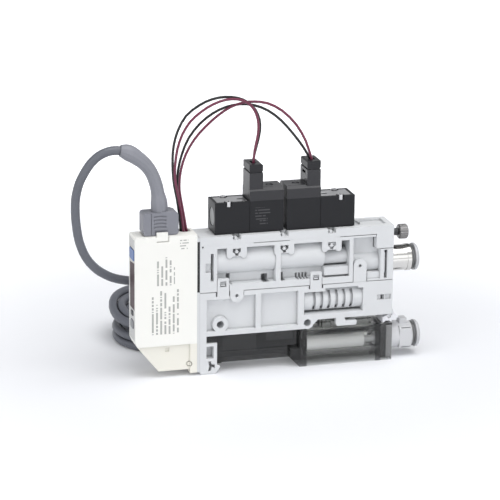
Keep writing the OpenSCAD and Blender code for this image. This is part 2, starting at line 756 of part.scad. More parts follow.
module supply_port() {
    color("lightsteelblue") in_frame() difference() {
        union() {
            rod_x(body_l, body_l + supply_l, mid_y, supply_z, port_r);
            rod_x(body_l + supply_l - 1.8, body_l + supply_l, mid_y, supply_z, port_r + 0.3);
            rod_x(body_l - 9.6, body_l + 0.1, mid_y, supply_z, 5);
        }
        port_bores(supply_z, supply_l);
        rod_x(body_l - 10, body_l + 3, mid_y, supply_z, 2);
        difference() {
            rod_x(clip_x - 0.2, clip_x + clip_t + 0.2, mid_y, supply_z, 6);
            rod_x(clip_x - cut, clip_x + clip_t + cut, mid_y, supply_z, 4.1);
        }
        // A fine groove along the front and the back
        both_faces() translate([0, mid_y, supply_z]) rotate([-34, 0, 0])
            rod_x(body_l + 0.6, body_l + supply_l - 2.2, -port_r, 0, 0.2);
    }
}

// A U-shaped sheet clip that drops into its slot and into the port's groove
module supply_clip() {
    color("silver") in_frame() difference() {
        bar(clip_x, clip_x + clip_t)
            rounded([1.9, supply_z - 5.2], [body_t - 1.8, supply_z + 4.8], 0.6);
        rod_x(clip_x - cut, clip_x + clip_t + cut, mid_y, supply_z, 4.2);
        block([clip_x - cut, mid_y, supply_z - 4.2], [clip_x + clip_t + cut, body_t, supply_z + 4.2]);
    }
}

module vacuum_port() {
    flat = 5.2;
    color("lightgray") in_frame() difference() {
        union() {
            rod_x(body_l + 0.1, body_l + vacuum_l, mid_y, vacuum_z, port_r);
            // The square part of the body, with the tab on its top
            bar(body_l + 4.6, body_l + vacuum_l - 0.8)
                rounded([mid_y - port_r, vacuum_z - flat], [mid_y + port_r, vacuum_z + flat], 1.6);
            block([body_l + 5.6, mid_y - 2.2, vacuum_z], [body_l + 9, mid_y + 2.2, vacuum_z + 8]);
            bar(case_end_x - mouth_l + seal_l + 0.3, case_end_x)
                rounded([mouth_wall + 0.1, mouth_wall + 0.1],
                    [body_t - mouth_wall - 0.1, case_h - mouth_wall - 0.1], 1);
            rod_x(case_end_x - mouth_l - 1.2, case_end_x - 1, mid_y, vacuum_z, 5);
            rod_x(case_x + bulkhead_l + element_l - 3, case_end_x - 1, mid_y, vacuum_z, 2.5);
        }
        port_bores(vacuum_z, vacuum_l);
        rod_x(case_x + bulkhead_l + element_l - 4, body_l + 3, mid_y, vacuum_z, 1.9);
        // The slits beside the square part's front and back
        both_faces() for (s = [-1, 1])
            block([body_l + 5.4, 0, vacuum_z + s * (flat - 0.7) - 0.2], [body_l + vacuum_l + cut, 3.4,
                vacuum_z + s * (flat - 0.7) + 0.2]);
    }
}

module supply_collar() { port_collar(supply_z, supply_l); }
module supply_tube_seal() { port_seal(supply_z); }
module supply_release_ring() { release_ring(supply_z, supply_l); }
module vacuum_collar() { port_collar(vacuum_z, vacuum_l); }
module vacuum_tube_seal() { port_seal(vacuum_z); }
module vacuum_release_ring() { release_ring(vacuum_z, vacuum_l); }

// Needle that sets the release air: a black bush, and a screw with a knurled knob

module needle_bush() {
    color("#202020") in_frame() difference() {
        rod_x(leg_x + 3.2, body_l + 4.1, mid_y, needle_z, 1.65);
        rod_x(leg_x, body_l + 6, mid_y, needle_z, 1 + fit);
    }
}

module needle_screw() {
    knob_x = body_l + 4.4;
    knob_l = 4.2;
    knob_r = 3.4;
    bevel = 0.5;
    color("silver") in_frame() difference() {
        union() {
            translate([leg_x + 0.3, mid_y, needle_z]) rotate([0, 90, 0]) cylinder(h = 1.7, r1 = 0.3, r2 = 0.8);
            rod_x(leg_x + 1.9, knob_x + 0.1, mid_y, needle_z, 0.8);
            rod_x(leg_x + 3.6, knob_x + 0.1, mid_y, needle_z, 1);
            translate([knob_x, mid_y, needle_z]) rotate([0, 90, 0])
                cylinder(h = bevel, r1 = knob_r - bevel, r2 = knob_r);
            rod_x(knob_x + bevel, knob_x + knob_l - bevel, mid_y, needle_z, knob_r);
            translate([knob_x + knob_l - bevel, mid_y, needle_z]) rotate([0, 90, 0])
                cylinder(h = bevel, r1 = knob_r, r2 = knob_r - bevel);
        }
        for (a = [0 : 20 : 340]) translate([0, mid_y, needle_z]) rotate([a, 0, 0])
            rod_x(knob_x - 0.1, knob_x + knob_l + 0.1, 0, knob_r + 0.15, 0.35);
    }
}

// Pilot valves: side 0 is the supply valve, side 1 the release valve, its mirror image

module pilot_side(side) {
    translate([side * 2 * valve_mid, 0, 0]) mirror([side, 0, 0]) children();
}

module pilot_body() {
    difference() {
        block([valve_x, valve_y, valve_z], [valve_x + valve_l, valve_y + valve_w, valve_top]);
        // The recess for the metal insert, and the notches of both screws
        block([valve_x + 1.2, valve_y + 1.4, valve_top - 0.5], [cover_x - 0.5,
            valve_y + valve_w - 1.4, valve_top + cut]);
        for (y = screw_y) {
            rod_z(screw_x, y, valve_top - 2, valve_top + cut, 1.8);
            rod_z(screw_x, y, valve_z - cut, valve_top, 0.9);
        }
        rod_x(valve_x - cut, valve_x + 0.8, valve_y + valve_w / 2 - 0.4, valve_z + 6.9, 4.15);
        block([cover_x + 2, valve_y + 2, valve_top - 8], [valve_x + valve_l - 2,
            valve_y + valve_w - 2, valve_top + cut]);
        // The line where the coil's half of the body begins
        block([cover_x - 0.1, -cut, valve_z - cut], [cover_x + 0.1, valve_y + 0.2, valve_top + cut]);
    }
}

// Coil cover with the socket tower moulded on it, and the coil block that hangs from it
module pilot_cover() {
    difference() {
        union() {
            bar(cover_x, valve_x + valve_l) polygon([
                [valve_y, valve_top], [valve_y + valve_w, valve_top],
                [valve_y + valve_w, cover_top - 1.4], [valve_y + valve_w - 1.4, cover_top],
                [valve_y + 1.4, cover_top], [valve_y, cover_top - 1.4]
            ]);
            block([cover_x, tower_y[0], valve_top + 1], [cover_x + tower_l, tower_y[1], tower_z]);
            block([cover_x + 2.2, valve_y + 2.2, valve_top - 7.6], [valve_x + valve_l - 2.2,
                valve_y + valve_w - 2.2, valve_top + 0.1]);
        }
        block([cover_x + 1.1, tower_y[0] + 1.1, cover_top + 0.5], [cover_x + tower_l - 1.1,
            tower_y[1] - 1.1, tower_z + cut]);
        // The notch that the plug's lever catches
        block([cover_x + tower_l - 1.2, tower_y[0] + 3, tower_z - 2.4], [cover_x + tower_l + cut,
            tower_y[1] - 3, tower_z - 1.2]);
        rod_z(button_x, button_y, cover_top - 3, cover_top + cut, button_r + fit);
        translate([button_x, button_y, cover_top - 0.5]) cylinder(h = 0.7, r1 = button_r + fit, r2 = button_r + 0.75);
    }
}

// Plug on the leads: it fills the tower and stands above it, with a notch at both sides
module pilot_plug() {
    y = [valve_y + 0.9, valve_y + valve_w - 0.9];
    difference() {
        union() {
            slab(y[0], y[1]) polygon([
                [cover_x + 0.4, tower_z + 0.1], [cover_x + tower_l - 0.4, tower_z + 0.1],
                [cover_x + tower_l - 0.4, tower_z + 0.5], [cover_x + tower_l, tower_z + 0.9],
                [cover_x + tower_l, plug_z - 0.5], [cover_x + tower_l - 0.5, plug_z],
                [cover_x, plug_z], [cover_x, tower_z + 0.9], [cover_x + 0.4, tower_z + 0.5]
            ]);
            block([cover_x + 1.3, tower_y[0] + 1.3, cover_top + 1], [cover_x + tower_l - 1.3,
                tower_y[1] - 1.3, tower_z + 0.2]);
        }
        // The mouth that both leads enter
        block([cover_x + 1.6, valve_y + 3.8, plug_z - 2.4], [cover_x + 3.9, valve_y + 7.7, plug_z + cut]);
    }
}

module pilot_insert() {
    difference() {
        block([valve_x + 1.4, valve_y + 1.6, valve_top - 0.45], [cover_x - 0.7,
            valve_y + valve_w - 1.6, valve_top - 0.05]);
        for (y = screw_y) rod_z(screw_x, y, valve_top - 2, valve_top + cut, 2);
        block([cover_x - 4.6, valve_y + 5, valve_top - 1], [cover_x - 1.6, valve_y + 6.6, valve_top + cut]);
    }
}

module pilot_cap() {
    rod_x(valve_x + 0.2, valve_x + 0.78, valve_y + valve_w / 2 - 0.4, valve_z + 6.9, 4);
}

module pilot_gasket() {
    difference() {
        block([valve_x + 0.5, valve_y + 0.5, top_z], [valve_x + valve_l - 0.5,
            valve_y + valve_w - 0.5, valve_z]);
        for (i = [0 : 2]) rod_z(valve_x + 4 + 3.6 * i, mid_y + 1, top_z - cut, valve_z + cut, 1.1);
        for (y = screw_y) rod_z(screw_x, y, top_z - cut, valve_z + cut, 1.1);
    }
}

module pilot_button() {
    difference() {
        rod_z(button_x, button_y, cover_top - 2.2, cover_top - 0.3, button_r);
        block([button_x - 0.7, button_y - 0.15, cover_top - 0.6], [button_x + 0.7, button_y + 0.15,
            cover_top]);
    }
}

module supply_valve_body() { color("#343539") in_frame() pilot_side(0) pilot_body(); }
module supply_valve_cover() { color("#4a4b50") in_frame() pilot_side(0) pilot_cover(); }
module supply_valve_plug() { color("#2c2d31") in_frame() pilot_side(0) pilot_plug(); }
module supply_valve_insert() { color("silver") in_frame() pilot_side(0) pilot_insert(); }
module supply_valve_cap() { color("lightgray") in_frame() pilot_side(0) pilot_cap(); }
module supply_valve_gasket() { color("#202020") in_frame() pilot_side(0) pilot_gasket(); }
module supply_valve_button() { color("#202020") in_frame() pilot_side(0) pilot_button(); }
module release_valve_body() { color("#343539") in_frame() pilot_side(1) pilot_body(); }
module release_valve_cover() { color("#4a4b50") in_frame() pilot_side(1) pilot_cover(); }
module release_valve_plug() { color("#2c2d31") in_frame() pilot_side(1) pilot_plug(); }
module release_valve_insert() { color("silver") in_frame() pilot_side(1) pilot_insert(); }
module release_valve_cap() { color("lightgray") in_frame() pilot_side(1) pilot_cap(); }
module release_valve_gasket() { color("#202020") in_frame() pilot_side(1) pilot_gasket(); }
module release_valve_button() { color("#202020") in_frame() pilot_side(1) pilot_button(); }

module valve_screws() {
    color("silver") in_frame() for (side = [0, 1], y = screw_y) pilot_side(side) difference() {
        union() {
            rod_z(screw_x, y, top_z - 2.4, valve_top - 1.9, 0.75);
            rod_z(screw_x, y, valve_top - 2, valve_top + 0.3, 1.4);
        }
        block([screw_x - 0.9, y - 0.2, valve_top - 0.4], [screw_x + 0.9, y + 0.2, valve_top + cut]);
        block([screw_x - 0.2, y - 0.9, valve_top - 0.4], [screw_x + 0.2, y + 0.9, valve_top + cut]);
    }
}

// Vacuum switch: a moulded housing, a face with display and keys, and the board behind it

module switch_outline() {
    polygon([
        [switch_x, switch_z - 0.6], [switch_x, skirt_z + 2.2], [switch_x + 1, skirt_z],
        [switch_x + 10.7, 3], [switch_end - 0.2, 3], [switch_end - 0.2, 1.3], [switch_end, 1.3],
        [switch_end, switch_z], [switch_x + 0.6, switch_z]
    ]);
}

module switch_housing() {
    color("#f8f7f2") in_frame() difference() {
        union() {
            slab(0, switch_w) switch_outline();
            block([switch_end - 3.2, 0, 1.3], [switch_end, switch_w, 3.2]);
            rod_x(switch_end - 1, nipple_end, nipple_y, nipple_z, nipple_r);
            // The tab that locks the cable connector
            block([tab_x[0], 0, switch_z - 0.1], [tab_x[1], 1.2, switch_z + 1.9]);
        }
        // The hollow for the board, behind the face
        block([switch_x - cut, switch_wall, skirt_z + 2.8], [switch_x + face_t, switch_w - switch_wall,
            switch_z - switch_wall]);
        block([switch_x, switch_wall, skirt_z + 2.8], [switch_end - 2, switch_w - switch_wall,
            switch_z - switch_wall]);
        // The set-back skirt, the lock tab's notch and the connector's socket
        block([switch_x - cut, -cut, 0], [switch_end - 3.2, 0.8, skirt_z]);
        block([tab_x[0], -cut, switch_z - 2.4], [tab_x[1] + 0.5, 0.6, switch_z - 1.9]);
        block([tab_x[1], -cut, switch_z - 2.4], [tab_x[1] + 0.5, 0.6, switch_z + cut]);
        block([connector_x[0] + 3, connector_y[0] + 1.8, switch_z - 4], [connector_x[1] - 3,
            connector_y[1] - 1.6, switch_z + cut]);
        difference() {
            rod_y(switch_end - 3.5, -cut, 1.6, 5.6, 1.3);
            rod_y(switch_end - 3.5, -2 * cut, 2, 5.6, 0.9);
        }
        block([-15.6, -cut, skirt_z - 3], [-13.8, 1.4, skirt_z - 1.2]);
        // Grooves for the clip, and the air passage
        difference() {
            rod_x(switch_clip_x - 0.2, switch_clip_x + clip_t + 0.2, nipple_y, nipple_z, 4);
            rod_x(switch_clip_x - cut, switch_clip_x + clip_t + cut, nipple_y, nipple_z, 1.9);
        }
        rod_x(-4, nipple_end + cut, nipple_y, nipple_z, 1);
        rod_z(grommet_x, grommet_y, switch_z - 2, switch_z + cut, grommet_r + fit);
    }
}

module switch_face() {
    low = [switch_wall + 0.1, skirt_z + 2.9];
    high = [switch_w - switch_wall - 0.1, switch_z - switch_wall - 0.1];
    color("#e9e9e6") in_frame() difference() {
        bar(switch_x + 0.05, switch_x + face_t) rounded(low, high, 0.4);
        bar(switch_x - cut, switch_x + 0.95) window_outline(0);
        block([switch_x - cut, 2.3, window_z[0] + 1], [switch_x + face_t + cut, switch_w - 2.3, window_z[1] - 2]);
        bar(switch_x - cut, switch_x + face_t + cut) {
            rounded([1.7, key_up_z[0]], [switch_w - 1.7, key_up_z[1]], 0.8);
            rounded([3.9, key_down_z[0]], [switch_w - 3.9, key_down_z[1]], 0.6);
            rounded([3.1, key_set_z[0]], [switch_w - 3.1, key_set_z[1]], 1.4);
        }
    }
}

// The window's outline in Y and Z, lower at the back, drawn in by the given margin
module window_outline(margin) {
    y = [switch_wall + 0.4 + margin, switch_w - switch_wall - 0.4 - margin];
    polygon([
        [y[0], window_z[0] + margin], [y[1], window_z[0] + margin],
        [y[1], window_z[1] - 1.1 - margin], [y[0], window_z[1] - margin]
    ]);
}

module switch_window() {
    color("#40302c") in_frame() bar(switch_x + 0.1, switch_x + 0.9) window_outline(0.05);
}

module switch_display() {
    color("#181818") in_frame()
        block([switch_x + 1.3, 2.4, window_z[0] + 1.2], [switch_x + 3.9, switch_w - 2.4, window_z[1] - 2.2]);
}

module switch_board() {
    color("darkgreen") in_frame()
        block([switch_x + 4, 1.8, skirt_z + 4.2], [switch_x + 5.4, switch_w - 1.8, switch_z - 5]);
}

// A key: its cap in the face and the stem that reaches the board
module switch_key(low, high, r) {
    in_frame() {
        bar(switch_x - key_out, switch_x + face_t + 0.6) rounded(low, high, r);
        bar(switch_x + face_t + 0.5, switch_x + 4 - key_travel - 0.2)
            translate([switch_w / 2 - 1, (low.y + high.y) / 2 - 0.8]) square([2, 1.6]);
    }
}

module switch_key_up() {
    color("#4a7cc8") switch_key([1.9, key_up_z[0] + 0.2], [switch_w - 1.9, key_up_z[1] - 0.2], 0.7);
}

module switch_key_down() {
    color("#303236")
        switch_key([4.1, key_down_z[0] + 0.2], [switch_w - 4.1, key_down_z[1] - 0.2], 0.5);
}

module switch_key_set() {
    color("#55585e")
        switch_key([3.3, key_set_z[0] + 0.2], [switch_w - 3.3, key_set_z[1] - 0.2], 1.2);
}

// Spacer between switch and body: a full foot below, a frame round the gasket above
module switch_adapter() {
    color("gainsboro") in_frame() difference() {
        block([switch_end, 0.1, 1.3], [0, body_t - 0.6, top_z - 0.2]);
        block([switch_end - cut, -cut, seam_z + 0.6], [cut, switch_w - 1.6, top_z - 1.8]);
    }
}

module switch_gasket() {
    color("#202020") in_frame() difference() {
        block([switch_end, 0.5, seam_z + 0.7], [0, switch_w - 1.8, top_z - 1.9]);
        rod_x(switch_end - cut, cut, nipple_y, nipple_z, nipple_r + 0.1);
    }
}

module switch_clip() {
    color("silver") in_frame() difference() {
        bar(switch_clip_x, switch_clip_x + clip_t)
            rounded([3.3, nipple_z - 4.4], [body_t - 2.2, nipple_z + 7.8], 0.6);
        rod_x(switch_clip_x - cut, switch_clip_x + clip_t + cut, nipple_y, nipple_z, 2);
        block([switch_clip_x - cut, nipple_y, nipple_z - 2], [switch_clip_x + clip_t + cut, body_t,
            nipple_z + 2]);
    }
}

// Cable: connector, bent boot, free loop, coil on the floor and bare cores

boot_route = [
    [-16.9, 6.2, connector_top - 0.6], [-17.1, 6.2, connector_top + 3.8], [-17.6, 6.2, 83.4],
    [-18.3, 6.2, 87.2], [-19.7, 6.2, 91.4], [-21.5, 6.2, 94.8], [-23.8, 6.2, 97.6], [-26.4, 6.2, 99.8],
    [-28.6, 6.2, 101.4], [-30.6, 6.3, 102.6], [-32.4, 6.5, 103.3], [-34.3, 6.6, 103.7]
];
boot_radii = [3.75, 3.75, 3.05, 2.95, 2.9, 2.95, 3.1, 3.3, 3.55, 3.65, 3.3, 2.6];
cable_route = [
    [-33.5, 6.6, 103.6], [-36.7, 6.7, 103.9], [-40, 6.8, 103.4], [-43.8, 7, 101.7], [-47.4, 7.4, 98.3],
    [-50.1, 7.8, 94.1], [-52.2, 8.3, 89.6], [-53.5, 9, 84], [-53.8, 9.6, 78.6], [-53.4, 10.2, 71.4],
    [-51.9, 11, 62.6], [-48.6, 12.2, 54.6], [-43.7, 13.6, 48.6], [-37.8, 15.4, 44.4],
    [-32.6, 17, 42.1], [-26.5, 19.4, 40.2], [-20, 22.4, 38.2], [-12, 26.2, 35.2], [-4, 29.4, 31.8],
    [4.3, 32.3, 28.2], [14.9, 37.5, 24.8], [22, 47.7, 22.4], [23.1, 60.2, 20.8], [17.8, 71.6, 19.7],
    [7.6, 78.7, 18.9], [-6.6, 79.8, 18.3], [-18, 74.5, 18], [-24.3, 66.2, 17.3], [-26.6, 56, 14.8],
    [-24.3, 45.8, 13], [-16.3, 36.2, 13], [-4.5, 31.9, 12.5], [7.6, 33.3, 10.6]
];
coil_x = -0.7;
coil_y = 56;
coil_columns = 2;
coil_layers = 3;
coil_in = 4.55 * cable_d;
coil_out = coil_in + coil_columns * cable_d;

// Arched ridges for the fingers, one above the other
module grip_ridges() {
    arch_r = 14;
    for (i = [0 : 3]) translate([(tab_x[0] + tab_x[1]) / 2 - 0.5, connector_top - 1.5 - arch_r - 1.6 * i])
        intersection() {
            difference() {
                circle(arch_r);
                circle(arch_r - 0.6);
            }
            translate([-2.8, 0]) square([5.6, arch_r + 1]);
        }
}

module cable_connector() {
    x = connector_x;
    z = [switch_z + 0.15, connector_top];
    color("#8b8e92") in_frame() {
        difference() {
            slab(connector_y[0], connector_y[1]) {
                rounded([x[0], z[0]], [x[1], z[1] - 0.4], 1.4);
                rounded([x[1] - 8.6, z[0]], [x[1] - 1.2, z[1]], 1.2);
            }
            slab(connector_y[0] - cut, connector_y[0] + 0.3) grip_ridges();
            // The recess round the housing's tab, and a step at the left
            block([tab_x[0] - 0.3, connector_y[0] - cut, switch_z], [tab_x[1] + 0.3, connector_y[0] + 0.4,
                switch_z + 2.4]);
            block([x[0] + 3.4, connector_y[0] - cut, z[0] - cut], [x[0] + 3.7, connector_y[0] + 0.3,
                z[1] + cut]);
        }
        block([x[0] + 3.3, connector_y[0] + 2.1, switch_z - 3.6], [x[1] - 3.3, connector_y[1] - 1.9,
            switch_z + 0.3]);
    }
}

module cable_boot() {
    color("#9a9ca0") in_frame() tube(smooth(boot_route, 2), smooth(boot_radii, 2), 12);
}

module switch_cable() {
    route = smooth(cable_route, 2);
    color("#7d8086") in_frame() tube(route, [for (p = route) cable_d / 2], 8);
}

// The wound cable: the inner column stands one turn higher than the outer one
module cable_coil() {
    color("#7d8086") in_frame() translate([coil_x, coil_y, 0]) rotate_extrude() {
        rounded([coil_in, 0], [coil_out, coil_layers * cable_d], cable_d / 2);
        rounded([coil_in, 0], [coil_in + cable_d, (coil_layers + 1) * cable_d], cable_d / 2 - 0.1);
    }
}

// The cable's free end: the stripped cores come out of the sheath and lie down on the outer column
core_r = 0.5;
core_l = 15;

module cable_cores() {
    turn = 285;
    out = [cos(turn), sin(turn), 0];
    start = [coil_x, coil_y, (coil_layers + 0.5) * cable_d] + (coil_in + cable_d / 2) * out;
    color("#a05a30") in_frame() for (i = [0 : 3]) {
        upper = i == 0 || i == 3;
        from = start + core_r * ((i < 2 ? -1.4 : 1.4) * out + [0, 0, upper ? 1.4 : -1.4]);
        reach = coil_out - 4 + 1.3 * i;
        to = [coil_x + reach * cos(turn + core_l * 2.5), coil_y + reach * sin(turn + core_l * 2.5),
            coil_layers * cable_d + core_r + 0.05];
        route = smooth([from, (from + to) / 2 + [0, 0, upper ? 1.7 : 0.4], to], 5);
        tube(route, [for (p = route) core_r], 8);
    }
}

// Leads: each valve has a black and a red one, which rise from the switch and arch over to its plug

lead_end_x = cover_x + 2.8;
lead_end_y = [valve_y + 6.5, valve_y + 4.9];
lead_end_z = plug_z - 1.1;
supply_black_route = [
    [-6.6, 8.4, 64.6], [-6.8, 8.4, 67], [-7.6, 8, 74], [-8.8, 7.6, 81], [-10, 7.2, 86.6],
    [-10.6, 7.2, 92.6], [-10.7, 7.2, 98.8], [-10.2, 7.2, 104.4], [-8.4, 7.3, 110.8],
    [-4.6, 7.4, 117.4], [1.4, 7.5, 121.8], [7, 7.6, 124.1], [13, 7.6, 124.9], [18.8, 7.7, 124.1],
    [23.4, 7.8, 121.9], [27, 7.9, 118.2], [28.9, 8, 113.6], [29.2, 8.2, 109], [28.4, 8.5, 104],
    [27.3, 8.8, 99.5], [lead_end_x, lead_end_y[0], lead_end_z]
];
supply_red_route = [
    [-5.8, 6.6, 64.6], [-6, 6.6, 67], [-7.1, 6.3, 74.4], [-8.4, 6, 81.4], [-9.6, 5.7, 87],
    [-10.1, 5.6, 92.2], [-9.8, 5.6, 97.4], [-8.9, 5.6, 103.2], [-6.8, 5.6, 109.4],
    [-3.2, 5.7, 115], [1.9, 5.8, 119.3], [7.2, 5.8, 122.3], [13, 5.9, 124], [18.4, 6, 123.9],
    [22.6, 6.1, 122.2], [25.8, 6.2, 119], [27.6, 6.3, 114.4], [28, 6.5, 109.4], [27.3, 6.8, 104.4],
    [26.5, 7.1, 100], [lead_end_x, lead_end_y[1], lead_end_z]
];
release_black_route = [
    [-5.2, 10.2, 64.6], [-5.5, 10.2, 67], [-6.5, 10, 73.4], [-7.6, 9.8, 80.4], [-8, 9.8, 86],
    [-7.5, 10, 92.6], [-5.7, 10.2, 99.8], [-2.5, 10.5, 106.8], [2.6, 10.8, 112.8],
    [8.4, 11, 117], [14.4, 11.2, 119.5], [20.8, 11.3, 120.4], [27.2, 11.3, 119.6],
    [33.6, 11.1, 116.9], [39.6, 10.7, 112.2], [45, 10.1, 106], [49.6, 9.6, 99.8],
    [2 * valve_mid - lead_end_x, lead_end_y[0], lead_end_z]
];
release_red_route = [
    [-4, 8.6, 64.6], [-4.4, 8.6, 67], [-5.6, 8.4, 73.8], [-6.9, 8.2, 80.8], [-7.4, 8.2, 86],
    [-6.7, 8.3, 92.8], [-4.4, 8.6, 99.8], [-0.4, 8.9, 106.3], [4.5, 9.2, 111.5],
    [10.4, 9.4, 116.4], [16.2, 9.6, 119.8], [21.8, 9.7, 121.4], [26.8, 9.7, 121.6],
    [32.9, 9.4, 120.6], [39.5, 9, 117], [45.9, 8.5, 110.5], [50.4, 7.9, 102.6],
    [2 * valve_mid - lead_end_x, lead_end_y[1], lead_end_z]
];

module lead(points) {
    route = smooth(points, 2);
    tube(route, [for (p = route) lead_d / 2], 8);
}

module supply_lead_black() { color("#181818") in_frame() lead(supply_black_route); }
module supply_lead_red() { color("#6e2d46") in_frame() lead(supply_red_route); }
module release_lead_black() { color("#181818") in_frame() lead(release_black_route); }
module release_lead_red() { color("#6e2d46") in_frame() lead(release_red_route); }

module lead_grommet() {
    color("#f8f7f2") in_frame() difference() {
        rod_z(grommet_x, grommet_y, switch_z - 1.9, switch_z + 0.1, grommet_r);
        rod_z(grommet_x, grommet_y, switch_z - 3, switch_z + 2, grommet_r - 0.4);
    }
}

lower_body();
upper_body();
valve_plate();
nozzle();
diffuser();
silencer_element();
check_valve();
valve_spool();
filter_case();
filter_element();
case_seal();
filter_latch();
latch_pin();
vacuum_port();
vacuum_collar();
vacuum_tube_seal();
vacuum_release_ring();
supply_port();
supply_collar();
supply_tube_seal();
supply_release_ring();
supply_clip();
needle_bush();
needle_screw();
supply_valve_body();
supply_valve_cover();
supply_valve_plug();
supply_valve_insert();
supply_valve_cap();
supply_valve_gasket();
supply_valve_button();
release_valve_body();
release_valve_cover();
release_valve_plug();
release_valve_insert();
release_valve_cap();
release_valve_gasket();
release_valve_button();
valve_screws();
switch_housing();
switch_face();
switch_window();
switch_display();
switch_board();
switch_key_up();
switch_key_down();
switch_key_set();
switch_adapter();
switch_gasket();
switch_clip();
cable_connector();
cable_boot();
switch_cable();
cable_coil();
cable_cores();
supply_lead_black();
supply_lead_red();
release_lead_black();
release_lead_red();
lead_grommet();
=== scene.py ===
import math

import bmesh
import bpy
from mathutils import Matrix, Vector


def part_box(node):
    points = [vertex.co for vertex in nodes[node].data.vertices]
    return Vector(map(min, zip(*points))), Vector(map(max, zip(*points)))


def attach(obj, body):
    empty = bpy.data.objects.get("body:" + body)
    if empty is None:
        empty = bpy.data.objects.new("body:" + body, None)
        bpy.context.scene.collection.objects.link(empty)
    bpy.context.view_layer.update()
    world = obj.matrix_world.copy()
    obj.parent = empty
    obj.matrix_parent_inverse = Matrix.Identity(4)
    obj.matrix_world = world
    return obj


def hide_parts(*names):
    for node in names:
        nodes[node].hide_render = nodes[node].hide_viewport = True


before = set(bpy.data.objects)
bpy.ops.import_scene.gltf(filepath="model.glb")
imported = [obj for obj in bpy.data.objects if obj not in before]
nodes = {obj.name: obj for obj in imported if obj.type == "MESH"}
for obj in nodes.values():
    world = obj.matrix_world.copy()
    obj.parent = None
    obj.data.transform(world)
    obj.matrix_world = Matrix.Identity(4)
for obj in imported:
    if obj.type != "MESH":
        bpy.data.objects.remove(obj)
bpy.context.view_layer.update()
mm = 0.001

# The camera: a long lens, a little to the left of the ejector's front and above it.
camera_data = bpy.data.cameras.new("camera")
camera_data.lens = 178.92
camera_data.sensor_width = 36
camera_data.clip_start = 0.05
camera_data.clip_end = 20
camera = bpy.data.objects.new("camera", camera_data)
bpy.context.scene.collection.objects.link(camera)
bpy.context.scene.camera = camera
camera_place = Vector((-299.825, -1023.9, 367.2)) * mm
camera_target = Vector((-14.605, -7.5, 56.67)) * mm
camera_roll = math.radians(0.533)
look = (camera_target - camera_place).to_track_quat("-Z", "Y").to_matrix().to_4x4()
camera.matrix_world = Matrix.Translation(camera_place) @ look @ Matrix.Rotation(camera_roll, 4, "Z")

# Body: two ribbed half housings that clip together, the plate under the valves and the frame
# that the switch hangs on. They are injection mouldings in light grey glass-filled nylon, with a
# fine spark-eroded grain, faint flow marks and edges that handling has rubbed paler.


def feed(recipe, socket, term):
    """Joins another step's result to a socket, or sets a plain value there."""
    if isinstance(term, bpy.types.NodeSocket):
        recipe.links.new(term, socket)
    else:
        socket.default_value = term


def reckon(recipe, operation, *terms):
    """One sum of a finish's recipe. Each term is a number or another step's result."""
    step = recipe.nodes.new("ShaderNodeMath")
    step.operation = operation
    for socket, term in zip(step.inputs, terms):
        feed(recipe, socket, term)
    return step.outputs[0]


def blotches(recipe, where, scale, detail=3.0):
    """Soft uneven patches from 0 to 1. A greater scale makes them finer."""
    step = recipe.nodes.new("ShaderNodeTexNoise")
    step.inputs["Detail"].default_value = detail
    feed(recipe, step.inputs["Vector"], where)
    feed(recipe, step.inputs["Scale"], scale)
    return step.outputs["Fac"]


def blended(recipe, share, colour_a, colour_b):
    """Goes from the first colour to the second as the share goes from 0 to 1."""
    step = recipe.nodes.new("ShaderNodeMix")
    step.data_type = "RGBA"
    feed(recipe, step.inputs[0], share)
    feed(recipe, step.inputs[6], colour_a)
    feed(recipe, step.inputs[7], colour_b)
    return step.outputs[2]


def part_place(recipe):
    """Where a point lies on its part, in the frame's own metres."""
    return recipe.nodes.new("ShaderNodeTexCoord").outputs["Object"]


def effect(name, takes, gives):
    """A shared effect, with its named values going in and coming out."""
    group = bpy.data.node_groups.new(name, "ShaderNodeTree")
    kinds = {"c": "NodeSocketColor", "f": "NodeSocketFloat", "v": "NodeSocketVector"}
    for label, kind, value in takes:
        socket = group.interface.new_socket(name=label, in_out="INPUT", socket_type=kinds[kind])
        if value is not None:
            socket.default_value = value
    for label, kind in gives:
        group.interface.new_socket(name=label, in_out="OUTPUT", socket_type=kinds[kind])
    return group, group.nodes.new("NodeGroupInput").outputs, group.nodes.new("NodeGroupOutput").inputs


edge_reach = 0.22 * mm
corner_reach = 0.9 * mm
grain_height = 0.04 * mm
moulded_grain, given, result = effect("moulded_grain",
    [("Colour", "c", (0.8, 0.8, 0.8, 1)), ("Roughness", "f", 0.5), ("Grain", "f", 4000.0),
     ("Depth", "f", 0.1), ("Mottle", "f", 0.05), ("Wear", "f", 0.1), ("Painted corner shade", "f", 0.3)],
    [("Colour", "c"), ("Roughness", "f"), ("Normal", "v")])
place = part_place(moulded_grain)
fine = blotches(moulded_grain, place, given["Grain"])
slow = reckon(moulded_grain, "SUBTRACT", blotches(moulded_grain, place, 90.0, 4.0), 0.5)
rounding = moulded_grain.nodes.new("ShaderNodeBevel")
rounding.samples = 4
rounding.inputs["Radius"].default_value = edge_reach
flat = moulded_grain.nodes.new("ShaderNodeNewGeometry")
turned = moulded_grain.nodes.new("ShaderNodeVectorMath")
turned.operation = "DOT_PRODUCT"
moulded_grain.links.new(rounding.outputs["Normal"], turned.inputs[0])
moulded_grain.links.new(flat.outputs["Normal"], turned.inputs[1])
edge = reckon(moulded_grain, "SUBTRACT", 1.0, turned.outputs["Value"])
edge = reckon(moulded_grain, "MINIMUM", reckon(moulded_grain, "MULTIPLY", edge, 6.0), 1.0)
handled = reckon(moulded_grain, "MULTIPLY", blotches(moulded_grain, place, 700.0), given["Wear"])
rubbed = reckon(moulded_grain, "MULTIPLY", edge, handled)
shade = reckon(moulded_grain, "ADD", reckon(moulded_grain, "MULTIPLY", slow, given["Mottle"]), 1.0)
shade = reckon(moulded_grain, "ADD", shade, rubbed)
# Painted shade: where the surface is shut in within corner_reach, its colour is darkened, standing in for
# the shade in corners, recesses and gaps between parts.
corner = moulded_grain.nodes.new("ShaderNodeAmbientOcclusion")
corner.samples = 6
